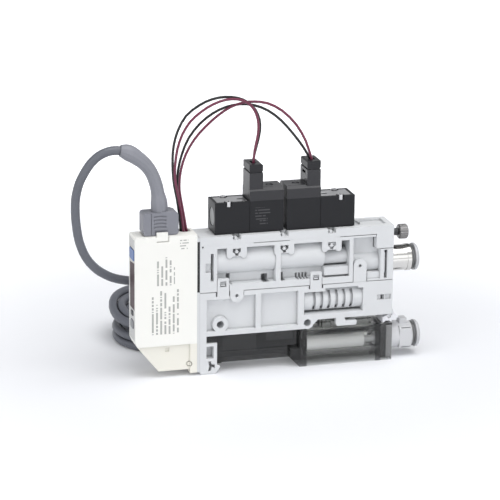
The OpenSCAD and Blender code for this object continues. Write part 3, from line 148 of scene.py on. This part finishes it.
corner.inputs["Distance"].default_value = corner_reach
shut_in = reckon(moulded_grain, "SUBTRACT", 1.0, corner.outputs["AO"])
corner_shade_share = reckon(moulded_grain, "MULTIPLY", shut_in, given["Painted corner shade"])
shade = reckon(moulded_grain, "MULTIPLY", shade, reckon(moulded_grain, "SUBTRACT", 1.0, corner_shade_share))
tint = moulded_grain.nodes.new("ShaderNodeVectorMath")
tint.operation = "SCALE"
feed(moulded_grain, tint.inputs[0], given["Colour"])
feed(moulded_grain, tint.inputs["Scale"], shade)
feed(moulded_grain, result["Colour"], tint.outputs["Vector"])
feed(moulded_grain, result["Roughness"], reckon(moulded_grain, "ADD", given["Roughness"],
    reckon(moulded_grain, "MULTIPLY", slow, 0.2)))
bump = moulded_grain.nodes.new("ShaderNodeBump")
bump.inputs["Distance"].default_value = grain_height
feed(moulded_grain, bump.inputs["Strength"], given["Depth"])
feed(moulded_grain, bump.inputs["Height"], fine)
feed(moulded_grain, bump.inputs["Normal"], rounding.outputs["Normal"])
feed(moulded_grain, result["Normal"], bump.outputs["Normal"])


def moulded(name, colour, roughness=0.5, depth=0.25, mottle=0.06, size=4000.0, wear=0.1, painted_corner_shade=0.3,
        coat=0.0, metal=0.0, gloss=0.5):
    """A finish with a fine grain: its colour, how dull it is, and how strongly the rest shows, the painted
    shade in its corners and recesses among them.
    """
    finish = bpy.data.materials.new(name)
    finish.use_nodes = True
    recipe = finish.node_tree
    shader = recipe.nodes["Principled BSDF"]
    skin = recipe.nodes.new("ShaderNodeGroup")
    skin.node_tree = moulded_grain
    skin.name = "skin"
    for label, value in (("Colour", (*colour, 1)), ("Roughness", roughness), ("Grain", size),
            ("Depth", depth), ("Mottle", mottle), ("Wear", wear), ("Painted corner shade", painted_corner_shade)):
        skin.inputs[label].default_value = value
    recipe.links.new(skin.outputs["Colour"], shader.inputs["Base Color"])
    recipe.links.new(skin.outputs["Roughness"], shader.inputs["Roughness"])
    recipe.links.new(skin.outputs["Normal"], shader.inputs["Normal"])
    shader.inputs["Coat Weight"].default_value = coat
    shader.inputs["Metallic"].default_value = metal
    shader.inputs["Specular IOR Level"].default_value = gloss
    return finish


def finished(finish, *names):
    """Gives the named pieces a finish."""
    for name in names:
        piece = nodes[name]
        piece.data.materials.clear()
        piece.data.materials.append(finish)


# The body's corners and recesses get a fairly strong painted shade.
finished(moulded("body_plastic", (0.680, 0.692, 0.704), 0.36, painted_corner_shade=0.5),
    "lower_body", "upper_body", "valve_plate", "switch_adapter")

# Inside the body: the turned brass jet, the white diffuser behind it, the porous silencer that
# shows through the slots, the rubber flap of the check valve and the steel spool that slides.
finished(moulded("jet_brass", (0.60, 0.42, 0.16), 0.3, metal=1.0), "nozzle")
finished(moulded("diffuser_plastic", (0.80, 0.80, 0.79), 0.45), "diffuser")
finished(moulded("porous_silencer", (0.74, 0.75, 0.76), 0.85, depth=1.0, size=2600.0, mottle=0.15),
    "silencer_element")
finished(moulded("flap_rubber", (0.03, 0.03, 0.032), 0.6), "check_valve")
finished(moulded("spool_steel", (0.62, 0.63, 0.64), 0.25, depth=0.1, metal=1.0), "valve_spool")

# Filter: a clear case in smoke-coloured polycarbonate round a white sintered element. A rubber
# seal closes its mouth, and a white snap lever on a steel pin holds it to the port.


def axes(recipe, where):
    """The X, Y and Z of a place, each by itself."""
    step = recipe.nodes.new("ShaderNodeSeparateXYZ")
    feed(recipe, step.inputs["Vector"], where)
    return step.outputs


case_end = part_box("filter_case")[1][0]
solid_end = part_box("filter_element")[0][0] - 0.4 * mm
shoulder_place, shoulder_half = case_end - 6.6 * mm, 1.2 * mm
mouth_start = case_end - 5.4 * mm
smoke = bpy.data.materials.new("smoke_polycarbonate")
smoke.use_nodes = True
recipe = smoke.node_tree
shader = recipe.nodes["Principled BSDF"]
place = part_place(recipe)
streaks = recipe.nodes.new("ShaderNodeMapping")
streaks.inputs["Scale"].default_value = (0.15, 1, 1)
recipe.links.new(place, streaks.inputs["Vector"])
flow = blotches(recipe, streaks.outputs["Vector"], 160.0)
feed(recipe, shader.inputs["Roughness"], reckon(recipe, "MULTIPLY_ADD", flow, 0.12, 0.01))
lengthwise = axes(recipe, place)["X"]
solid = reckon(recipe, "LESS_THAN", lengthwise, solid_end)
from_shoulder = reckon(recipe, "ABSOLUTE", reckon(recipe, "SUBTRACT", lengthwise, shoulder_place))
shoulder = reckon(recipe, "LESS_THAN", from_shoulder, shoulder_half)
mouth = reckon(recipe, "GREATER_THAN", lengthwise, mouth_start)
clear = blended(recipe, flow, (0.93, 0.94, 0.92, 1), (0.98, 0.98, 0.97, 1))
clear = blended(recipe, mouth, clear, (0.62, 0.62, 0.61, 1))
thick = reckon(recipe, "MAXIMUM", solid, shoulder)
feed(recipe, shader.inputs["Base Color"], blended(recipe, thick, clear, (0.10, 0.10, 0.105, 1)))
rays = recipe.nodes.new("ShaderNodeLightPath")
lit_through = reckon(recipe, "MAXIMUM", rays.outputs["Is Shadow Ray"], rays.outputs["Is Diffuse Ray"])
feed(recipe, shader.inputs["Alpha"], reckon(recipe, "MULTIPLY_ADD", lit_through, -0.9, 1.0))
ripple = recipe.nodes.new("ShaderNodeBump")
ripple.inputs["Strength"].default_value = 0.15
ripple.inputs["Distance"].default_value = 0.0002
feed(recipe, ripple.inputs["Height"], flow)
recipe.links.new(ripple.outputs["Normal"], shader.inputs["Normal"])
shader.inputs["IOR"].default_value = 1.5
shader.inputs["Transmission Weight"].default_value = 1.0
depths = recipe.nodes.new("ShaderNodeVolumeAbsorption")
depths.inputs["Color"].default_value = (0.46, 0.465, 0.45, 1)
depths.inputs["Density"].default_value = 240
recipe.links.new(depths.outputs["Volume"], recipe.nodes["Material Output"].inputs["Volume"])
finished(smoke, "filter_case")
finished(moulded("sintered_element", (0.96, 0.965, 0.97), 0.85, depth=0.8, size=2600.0, mottle=0.1),
    "filter_element")
finished(moulded("case_rubber", (0.03, 0.03, 0.032), 0.6), "case_seal")
finished(moulded("lever_plastic", (0.78, 0.785, 0.81), 0.35, depth=0.1), "filter_latch")
finished(moulded("pin_steel", (0.62, 0.63, 0.64), 0.25, depth=0.1, metal=1.0), "latch_pin")

# Vacuum port: a push-in fitting in light grey acetal. A dark collar closes it and a grey ring
# slides in the collar to let go of the tube, which a rubber lip seals inside.
finished(moulded("port_plastic", (0.62, 0.625, 0.64), 0.35, depth=0.12), "vacuum_port")
finished(moulded("collar_plastic", (0.11, 0.11, 0.112), 0.4), "vacuum_collar", "supply_collar")
finished(moulded("ring_plastic", (0.50, 0.505, 0.52), 0.35), "vacuum_release_ring", "supply_release_ring")
finished(moulded("tube_rubber", (0.03, 0.03, 0.032), 0.6), "vacuum_tube_seal", "supply_tube_seal")

# Supply port: the same fitting with a turned and nickel-plated brass sleeve, which a steel clip
# holds in the body. The lathe has left fine rings round it.
nickel = moulded("nickel_plate", (0.66, 0.65, 0.63), 0.14, depth=0.0, mottle=0.03, metal=1.0, painted_corner_shade=0.0)
recipe = nickel.node_tree
place = part_place(recipe)
rings = recipe.nodes.new("ShaderNodeMapping")
rings.inputs["Scale"].default_value = (1, 0.02, 0.02)
recipe.links.new(place, rings.inputs["Vector"])
lathe = blotches(recipe, rings.outputs["Vector"], 5000.0)
feed(recipe, recipe.nodes["Principled BSDF"].inputs["Roughness"],
    reckon(recipe, "MULTIPLY_ADD", lathe, 0.12, 0.10))
finished(nickel, "supply_port")
finished(moulded("clip_steel", (0.62, 0.63, 0.64), 0.28, depth=0.1, metal=1.0), "supply_clip", "switch_clip")

# Release flow needle: a knurled and plated knob on a fine thread, in a black bush at the end of
# the valve plate.
finished(moulded("knob_plate", (0.24, 0.235, 0.235), 0.32, depth=0.3, mottle=0.12, metal=1.0, wear=0.3),
    "needle_screw")
finished(moulded("bush_plastic", (0.03, 0.032, 0.036), 0.4), "needle_bush")

# Valves: two small solenoid valves, each a black body under a dark grey coil cover with a black
# plug on its tower. Bright screws hold them down, and each has a button for trying it by hand.
# Their fronts are marked with small plain grey bars, like a rating table seen from afar.
printed_bars, given, result = effect("printed_bars",
    [("Across", "f", 0.0), ("Along", "f", 0.0), ("First row", "f", 0.0), ("Last row", "f", 0.01),
     ("Begin", "f", 0.0), ("End", "f", 0.01), ("Pitch", "f", 0.002), ("Dash", "f", 0.001),
     ("Weight", "f", 0.5), ("Face", "f", 0.0)],
    [("Ink", "f")])
past_first = reckon(printed_bars, "SUBTRACT", given["Across"], given["First row"])
row_place = reckon(printed_bars, "DIVIDE", past_first, given["Pitch"])
row = reckon(printed_bars, "FLOOR", row_place)
dash = reckon(printed_bars, "FLOOR", reckon(printed_bars, "DIVIDE", given["Along"], given["Dash"]))
spot = printed_bars.nodes.new("ShaderNodeCombineXYZ")
feed(printed_bars, spot.inputs["X"], row)
feed(printed_bars, spot.inputs["Y"], dash)
chance = printed_bars.nodes.new("ShaderNodeTexWhiteNoise")
chance.noise_dimensions = "2D"
feed(printed_bars, chance.inputs["Vector"], spot.outputs["Vector"])
ragged = printed_bars.nodes.new("ShaderNodeTexWhiteNoise")
ragged.noise_dimensions = "1D"
feed(printed_bars, ragged.inputs["W"], row)
span = reckon(printed_bars, "SUBTRACT", given["End"], given["Begin"])
filled = reckon(printed_bars, "MULTIPLY_ADD", ragged.outputs["Value"], 0.4, 0.6)
row_end = reckon(printed_bars, "MULTIPLY_ADD", span, filled, given["Begin"])
from_front = axes(printed_bars, part_place(printed_bars))["Y"]
ink = reckon(printed_bars, "LESS_THAN", reckon(printed_bars, "FRACT", row_place), given["Weight"])
for held in (
        reckon(printed_bars, "GREATER_THAN", chance.outputs["Value"], 0.2),
        reckon(printed_bars, "GREATER_THAN", given["Across"], given["First row"]),
        reckon(printed_bars, "LESS_THAN", given["Across"], given["Last row"]),
        reckon(printed_bars, "GREATER_THAN", given["Along"], given["Begin"]),
        reckon(printed_bars, "LESS_THAN", given["Along"], row_end),
        reckon(printed_bars, "LESS_THAN", from_front, given["Face"])):
    ink = reckon(printed_bars, "MULTIPLY", ink, held)
feed(printed_bars, result["Ink"], ink)


print_depth = 0.3 * mm


def print_on(finish, node, fields, ink_colour):
    """Lays plain printed bars over the front of a piece's finish.

    Each field gives the axis across its rows, the first and last row, where the bars begin and end,
    the pitch of the rows, the length of a dash and the inked share of a row. All but the share are in
    millimetres, and the places are measured from the piece's low corner.
    """
    recipe = finish.node_tree
    shader = recipe.nodes["Principled BSDF"]
    where = axes(recipe, part_place(recipe))
    corner = dict(zip("XYZ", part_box(node)[0]))
    total = 0.0
    for across, first, last_row, begin, end, pitch, dash_size, weight in fields:
        along = "Z" if across == "X" else "X"
        bars = recipe.nodes.new("ShaderNodeGroup")
        bars.node_tree = printed_bars
        recipe.links.new(where[across], bars.inputs["Across"])
        recipe.links.new(where[along], bars.inputs["Along"])
        for label, value in (
                ("First row", corner[across] + first * mm), ("Last row", corner[across] + last_row * mm),
                ("Begin", corner[along] + begin * mm), ("End", corner[along] + end * mm),
                ("Pitch", pitch * mm), ("Dash", dash_size * mm), ("Face", corner["Y"] + print_depth)):
            bars.inputs[label].default_value = value
        bars.inputs["Weight"].default_value = weight
        total = reckon(recipe, "MAXIMUM", total, bars.outputs["Ink"])
    plain = recipe.nodes["skin"].outputs["Colour"]
    feed(recipe, shader.inputs["Base Color"], blended(recipe, total, plain, (*ink_colour, 1)))


valve_plastic = moulded("valve_plastic", (0.012, 0.0125, 0.015), 0.42, size=5000.0, wear=0.5, gloss=0.26)
print_on(valve_plastic, "supply_valve_body", [
    ("Z", 5.6, 11.2, 18.425, 25.725, 1.35, 0.45, 0.42),
    ("Z", 3.4, 5.4, 20.525, 25.725, 1.35, 0.45, 0.42),
], (0.060, 0.060, 0.064))
finished(valve_plastic, "supply_valve_body", "release_valve_body")
finished(moulded("cover_plastic", (0.024, 0.024, 0.028), 0.36, size=5000.0, wear=0.5, gloss=0.38),
    "supply_valve_cover", "release_valve_cover")
finished(moulded("plug_plastic", (0.015, 0.015, 0.018), 0.4, wear=0.5, gloss=0.3),
    "supply_valve_plug", "release_valve_plug")
finished(moulded("button_plastic", (0.03, 0.032, 0.036), 0.4), "supply_valve_button", "release_valve_button")
finished(moulded("valve_rubber", (0.025, 0.025, 0.027), 0.6), "supply_valve_gasket", "release_valve_gasket")
finished(moulded("cap_plastic", (0.24, 0.25, 0.25), 0.4), "supply_valve_cap", "release_valve_cap")
finished(moulded("screw_steel", (0.52, 0.52, 0.53), 0.3, depth=0.1, metal=1.0),
    "valve_screws", "supply_valve_insert", "release_valve_insert")

# Vacuum switch: a cream housing with a light face, a brown tinted window over the display, and
# three keys. Its board and gasket are inside. The housing's front is marked with columns of
# small plain grey bars, like a rating table seen from afar.
cream = (0.90, 0.893, 0.85)
# Painted shade: below the skirt's top the cream is painted warmer and darker, standing in for the shade on
# the set-back skirt.
painted_skirt_shade_cream = (0.83, 0.81, 0.73)
skirt_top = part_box("switch_housing")[0][2] + 13.7 * mm
switch_plastic = moulded("switch_plastic", cream, 0.42, mottle=0.03, wear=0.04, depth=0.15, painted_corner_shade=0.25)
print_on(switch_plastic, "switch_housing", [
    ("X", 9.925, 18.025, 41.7, 55.3, 1.9, 0.55, 0.45),
    ("X", 7.525, 20.425, 19.2, 40.3, 1.9, 0.55, 0.45),
    ("Z", 57.9, 62.3, 20.325, 24.425, 1.25, 0.5, 0.42),
], (0.42, 0.42, 0.40))
recipe = switch_plastic.node_tree
skirt = reckon(recipe, "LESS_THAN", axes(recipe, part_place(recipe))["Z"], skirt_top)
feed(recipe, recipe.nodes["skin"].inputs["Colour"],
    blended(recipe, skirt, (*cream, 1), (*painted_skirt_shade_cream, 1)))
finished(switch_plastic, "switch_housing")
finished(moulded("grommet_plastic", (0.88, 0.87, 0.83), 0.45), "lead_grommet")
finished(moulded("face_plastic", (0.60, 0.60, 0.585), 0.4, gloss=0.4), "switch_face")
finished(moulded("window_plastic", (0.105, 0.075, 0.080), 0.5, depth=0.05, painted_corner_shade=0.1, gloss=0.12),
    "switch_window")
finished(moulded("display_plastic", (0.01, 0.01, 0.01), 0.3), "switch_display")
finished(moulded("board_resin", (0.02, 0.12, 0.04), 0.35), "switch_board")
finished(moulded("switch_rubber", (0.025, 0.025, 0.027), 0.6), "switch_gasket")
finished(moulded("blue_key", (0.10, 0.19, 0.45), 0.4, gloss=0.4), "switch_key_up")
finished(moulded("dark_key", (0.045, 0.045, 0.05), 0.4, gloss=0.4), "switch_key_down")
finished(moulded("grey_key", (0.24, 0.245, 0.26), 0.45, gloss=0.4), "switch_key_set")

# Connector: a grey plug in the top of the switch, and the soft boot moulded over the cable,
# which bends it away to the left.
finished(moulded("connector_plastic", (0.225, 0.23, 0.262), 0.5, depth=0.4, wear=0.25), "cable_connector")
finished(moulded("boot_rubber", (0.245, 0.25, 0.28), 0.5, depth=0.35, wear=0.15, mottle=0.1), "cable_boot")

# Switch cable: a 4 mm round cable with a soft grey sheath. It leaves the bent boot on the
# switch's connector, loops down behind the switch and once round, and its spare length is wound
# into a coil that lies on the floor. Its free end is bare, for a terminal block.
cable_d = 4 * mm
coil_centre = Vector((-38.125, 48.5, 0)) * mm
loop_points = [
    (-70.925, -0.9, 103.6), (-74.125, -0.8, 103.9), (-77.425, -0.7, 103.4), (-81.225, -0.5, 101.7),
    (-84.825, -0.1, 98.3), (-87.525, 0.3, 94.1), (-89.625, 0.8, 89.6), (-90.925, 1.5, 84),
    (-91.225, 2.1, 78.6), (-90.825, 2.7, 71.4), (-89.325, 3.5, 62.6), (-86.025, 4.7, 54.6),
    (-81.125, 6.1, 48.6), (-75.225, 7.9, 44.4), (-70.025, 9.5, 42.1), (-63.925, 11.9, 40.2),
    (-57.425, 14.9, 38.2), (-49.425, 18.7, 35.2), (-41.425, 21.9, 31.8), (-33.125, 24.8, 28.2),
    (-22.525, 30.0, 24.8), (-15.425, 40.2, 22.4), (-14.325, 52.7, 20.8), (-19.625, 64.1, 19.7),
    (-29.825, 71.2, 18.9), (-44.025, 72.3, 18.3), (-55.425, 67.0, 18), (-61.725, 58.7, 17.3),
    (-64.025, 48.5, 14.8), (-61.725, 38.3, 13), (-53.725, 28.7, 13), (-41.925, 24.4, 12.5),
    (-29.825, 25.8, 10.6),
]


def eased(t):
    """Starts and ends softly as t goes from 0 to 1."""
    t = min(max(t, 0.0), 1.0)
    return t * t * (3 - 2 * t)


# The outer column is wound downwards and the inner one upwards. Each line is a step to the next
# level: the angles where it begins and ends, then the new radius, height and sideways shift. The
# last turns rise a little at the back, and one step up crosses on the inside.
coil_start, coil_end, coil_pitch = 315, 2445, 15
coil_steps = [
    (380, 450, 24.0, 6.0, -0.3), (740, 810, 24.2, 2.0, 0), (1030, 1100, 20.1, 2.0, 0),
    (1320, 1390, 20.0, 6.0, -0.3), (1680, 1750, 20.0, 10.0, -0.5), (1790, 1860, 20.0, 12.0, -0.5),
    (1960, 2020, 20.0, 10.0, -0.5), (2010, 2085, 15.8, 10.0, -0.8), (2065, 2125, 15.8, 14.2, -0.8),
    (2125, 2205, 20.2, 14.8, -1.7), (2170, 2230, 20.2, 16.1, -1.7), (2315, 2385, 20.2, 14.0, -1.7),
]
coil_points = []
for angle in range(coil_start, coil_end + 1, coil_pitch):
    radius, height, shift = 24.0, 10.2, 0.0
    for begin, end, next_radius, next_height, next_shift in coil_steps:
        done = eased((angle - begin) / (end - begin))
        radius += (next_radius - radius) * done
        height += (next_height - height) * done
        shift += (next_shift - shift) * done
    turn = math.radians(angle)
    coil_points.append(coil_centre + Vector((shift + radius * math.cos(turn), radius * math.sin(turn),
        height)) * mm)

route = [Vector(p) * mm for p in loop_points] + coil_points


def smooth_route(points, spans):
    """A smooth curve through the points, with so many short spans from each to the next."""
    fine = []
    last = len(points) - 1
    for i in range(last):
        a, b = points[max(i - 1, 0)], points[i]
        c, d = points[i + 1], points[min(i + 2, last)]
        for k in range(spans):
            t = k / spans
            fine.append(0.5 * (2 * b + (c - a) * t + (2 * a - 5 * b + 4 * c - d) * t * t
                + (3 * b - a - 3 * c + d) * t ** 3))
    fine.append(points[last])
    return fine


def swept_tube(name, line, radius, sides):
    """A round tube along a line of points, with a UV map that runs round and along it."""
    mesh = bpy.data.meshes.new(name)
    tube = bmesh.new()
    along = [0.0]
    for i in range(1, len(line)):
        along.append(along[-1] + (line[i] - line[i - 1]).length)
    rings = []
    side = None
    for i, point in enumerate(line):
        heading = (line[min(i + 1, len(line) - 1)] - line[max(i - 1, 0)]).normalized()
        if side is None:
            side = heading.orthogonal().normalized()
        side = (side - heading * side.dot(heading)).normalized()
        up = heading.cross(side)
        ring = []
        for k in range(sides):
            turn = 2 * math.pi * k / sides
            ring.append(tube.verts.new(point + radius * (math.cos(turn) * side + math.sin(turn) * up)))
        rings.append(ring)
    uv = tube.loops.layers.uv.new("around_and_along")
    for i in range(len(line) - 1):
        for k in range(sides):
            j = (k + 1) % sides
            face = tube.faces.new((rings[i][k], rings[i][j], rings[i + 1][j], rings[i + 1][k]))
            face.smooth = True
            corners = ((k, i), (k + 1, i), (k + 1, i + 1), (k, i + 1))
            for loop, (around, ring_number) in zip(face.loops, corners):
                loop[uv].uv = (around / sides, along[ring_number])
    tube.faces.new(list(reversed(rings[0])))
    tube.faces.new(rings[-1])
    tube.to_mesh(mesh)
    tube.free()
    piece = bpy.data.objects.new(name, mesh)
    bpy.context.scene.collection.objects.link(piece)
    return piece


spans_between_points = 3
sheath_sides = 16
cable_line = smooth_route(route, spans_between_points)
cable = swept_tube("switch_cable_sheath", cable_line, cable_d / 2, sheath_sides)
# The sheath's painted corner shade is strong, so it is painted darker where it lies in the coil and against
# the floor.
sheath = moulded("cable_sheath", (0.128, 0.135, 0.157), 0.5, depth=0.3, size=3000.0, mottle=0.1, painted_corner_shade=0.8)
recipe = sheath.node_tree
drawn = recipe.nodes.new("ShaderNodeUVMap")
drawn.uv_map = "around_and_along"
stretch = recipe.nodes.new("ShaderNodeMapping")
stretch.inputs["Scale"].default_value = (24, 18, 1)
recipe.links.new(drawn.outputs["UV"], stretch.inputs["Vector"])
lines = blotches(recipe, stretch.outputs["Vector"], 1.0, 4.0)
feed(recipe, recipe.nodes["Principled BSDF"].inputs["Roughness"],
    reckon(recipe, "MULTIPLY_ADD", lines, 0.3, 0.28))
cable.data.materials.append(sheath)
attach(cable, "ejector")
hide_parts("switch_cable", "cable_coil")
finished(moulded("core_insulation", (0.25, 0.1, 0.03), 0.4), "cable_cores")

# Valve leads: a black and a dark red wire for each valve, 1.2 mm thick with smooth insulation.
# They leave the switch through the cream grommet and arch over to the plugs.
finished(moulded("black_insulation", (0.012, 0.012, 0.013), 0.35), "supply_lead_black", "release_lead_black")
finished(moulded("red_insulation", (0.155, 0.024, 0.058), 0.35), "supply_lead_red", "release_lead_red")

# Room: a pale floor under a broad soft lamp, with weak fills from the left and the front. The
# air behind the object is white, and darker high up, so that plated metal shows its form.


def between(recipe, value, low, high, level_a, level_b):
    """Goes softly from one level to the other as a value goes from low to high."""
    step = recipe.nodes.new("ShaderNodeMapRange")
    step.interpolation_type = "SMOOTHSTEP"
    for label, term in (("Value", value), ("From Min", low), ("From Max", high), ("To Min", level_a),
            ("To Max", level_b)):
        feed(recipe, step.inputs[label], term)
    return step.outputs["Result"]


floor_mesh = bpy.data.meshes.new("floor")
floor_mesh.from_pydata([(-6, -6, 0), (6, -6, 0), (6, 6, 0), (-6, 6, 0)], [], [(0, 1, 2, 3)])
floor = bpy.data.objects.new("floor", floor_mesh)
bpy.context.scene.collection.objects.link(floor)
floor_finish = bpy.data.materials.new("floor_white")
floor_finish.use_nodes = True
recipe = floor_finish.node_tree
floor_shader = recipe.nodes["Principled BSDF"]
floor_shader.inputs["Base Color"].default_value = (0.83, 0.84, 0.87, 1)
floor_shader.inputs["Roughness"].default_value = 0.6
floor_shader.inputs["Emission Color"].default_value = (1, 1, 1, 1)
rays = recipe.nodes.new("ShaderNodeLightPath")
seen = reckon(recipe, "MAXIMUM", rays.outputs["Is Camera Ray"], rays.outputs["Is Glossy Ray"])
away = recipe.nodes.new("ShaderNodeVectorMath")
away.operation = "LENGTH"
recipe.links.new(part_place(recipe), away.inputs[0])
# Painted light: the floor glows for camera and glossy rays, weakly near the object and strongly further out,
# so the open floor reads white and the floor round the object dimmer.
glow = between(recipe, away.outputs["Value"], 0.07, 0.42, 0.06, 0.7)
feed(recipe, floor_shader.inputs["Emission Strength"], reckon(recipe, "MULTIPLY", seen, glow))
floor.data.materials.append(floor_finish)

world = bpy.data.worlds.new("studio")
world.use_nodes = True
bpy.context.scene.world = world
recipe = world.node_tree
sky = recipe.nodes["Background"]
sky.inputs["Color"].default_value = (0.97, 0.98, 1, 1)
heading = axes(recipe, recipe.nodes.new("ShaderNodeTexCoord").outputs["Generated"])
behind = between(recipe, heading["Z"], 0.25, 0.5, 0.85, 0.10)
air = between(recipe, heading["Y"], -0.1, 0.25, 0.66, behind)
rays = recipe.nodes.new("ShaderNodeLightPath")
seen = reckon(recipe, "MAXIMUM", rays.outputs["Is Camera Ray"], rays.outputs["Is Transmission Ray"])
feed(recipe, sky.inputs["Strength"], between(recipe, seen, 0.0, 1.0, air, 1.0))


def softbox(name, place, aim, size, watts):
    """A broad soft lamp: where it hangs, what it points at, its size and its power."""
    lamp = bpy.data.lights.new(name, "AREA")
    lamp.shape = "RECTANGLE"
    lamp.size, lamp.size_y = size
    lamp.energy = watts
    thing = bpy.data.objects.new(name, lamp)
    thing.location = place
    thing.rotation_euler = (Vector(aim) - Vector(place)).to_track_quat("-Z", "Y").to_euler()
    bpy.context.scene.collection.objects.link(thing)


softbox("overhead", (0.1, -0.25, 1.1), (0, 0.02, 0.03), (0.9, 0.9), 9)
softbox("left_fill", (-1.1, -0.7, 0.6), (0, 0, 0.05), (0.8, 0.8), 3)
softbox("front_fill", (0.5, -1.3, 0.5), (0, 0, 0.05), (0.8, 0.6), 1.5)

bpy.context.scene.view_settings.view_transform = "Standard"
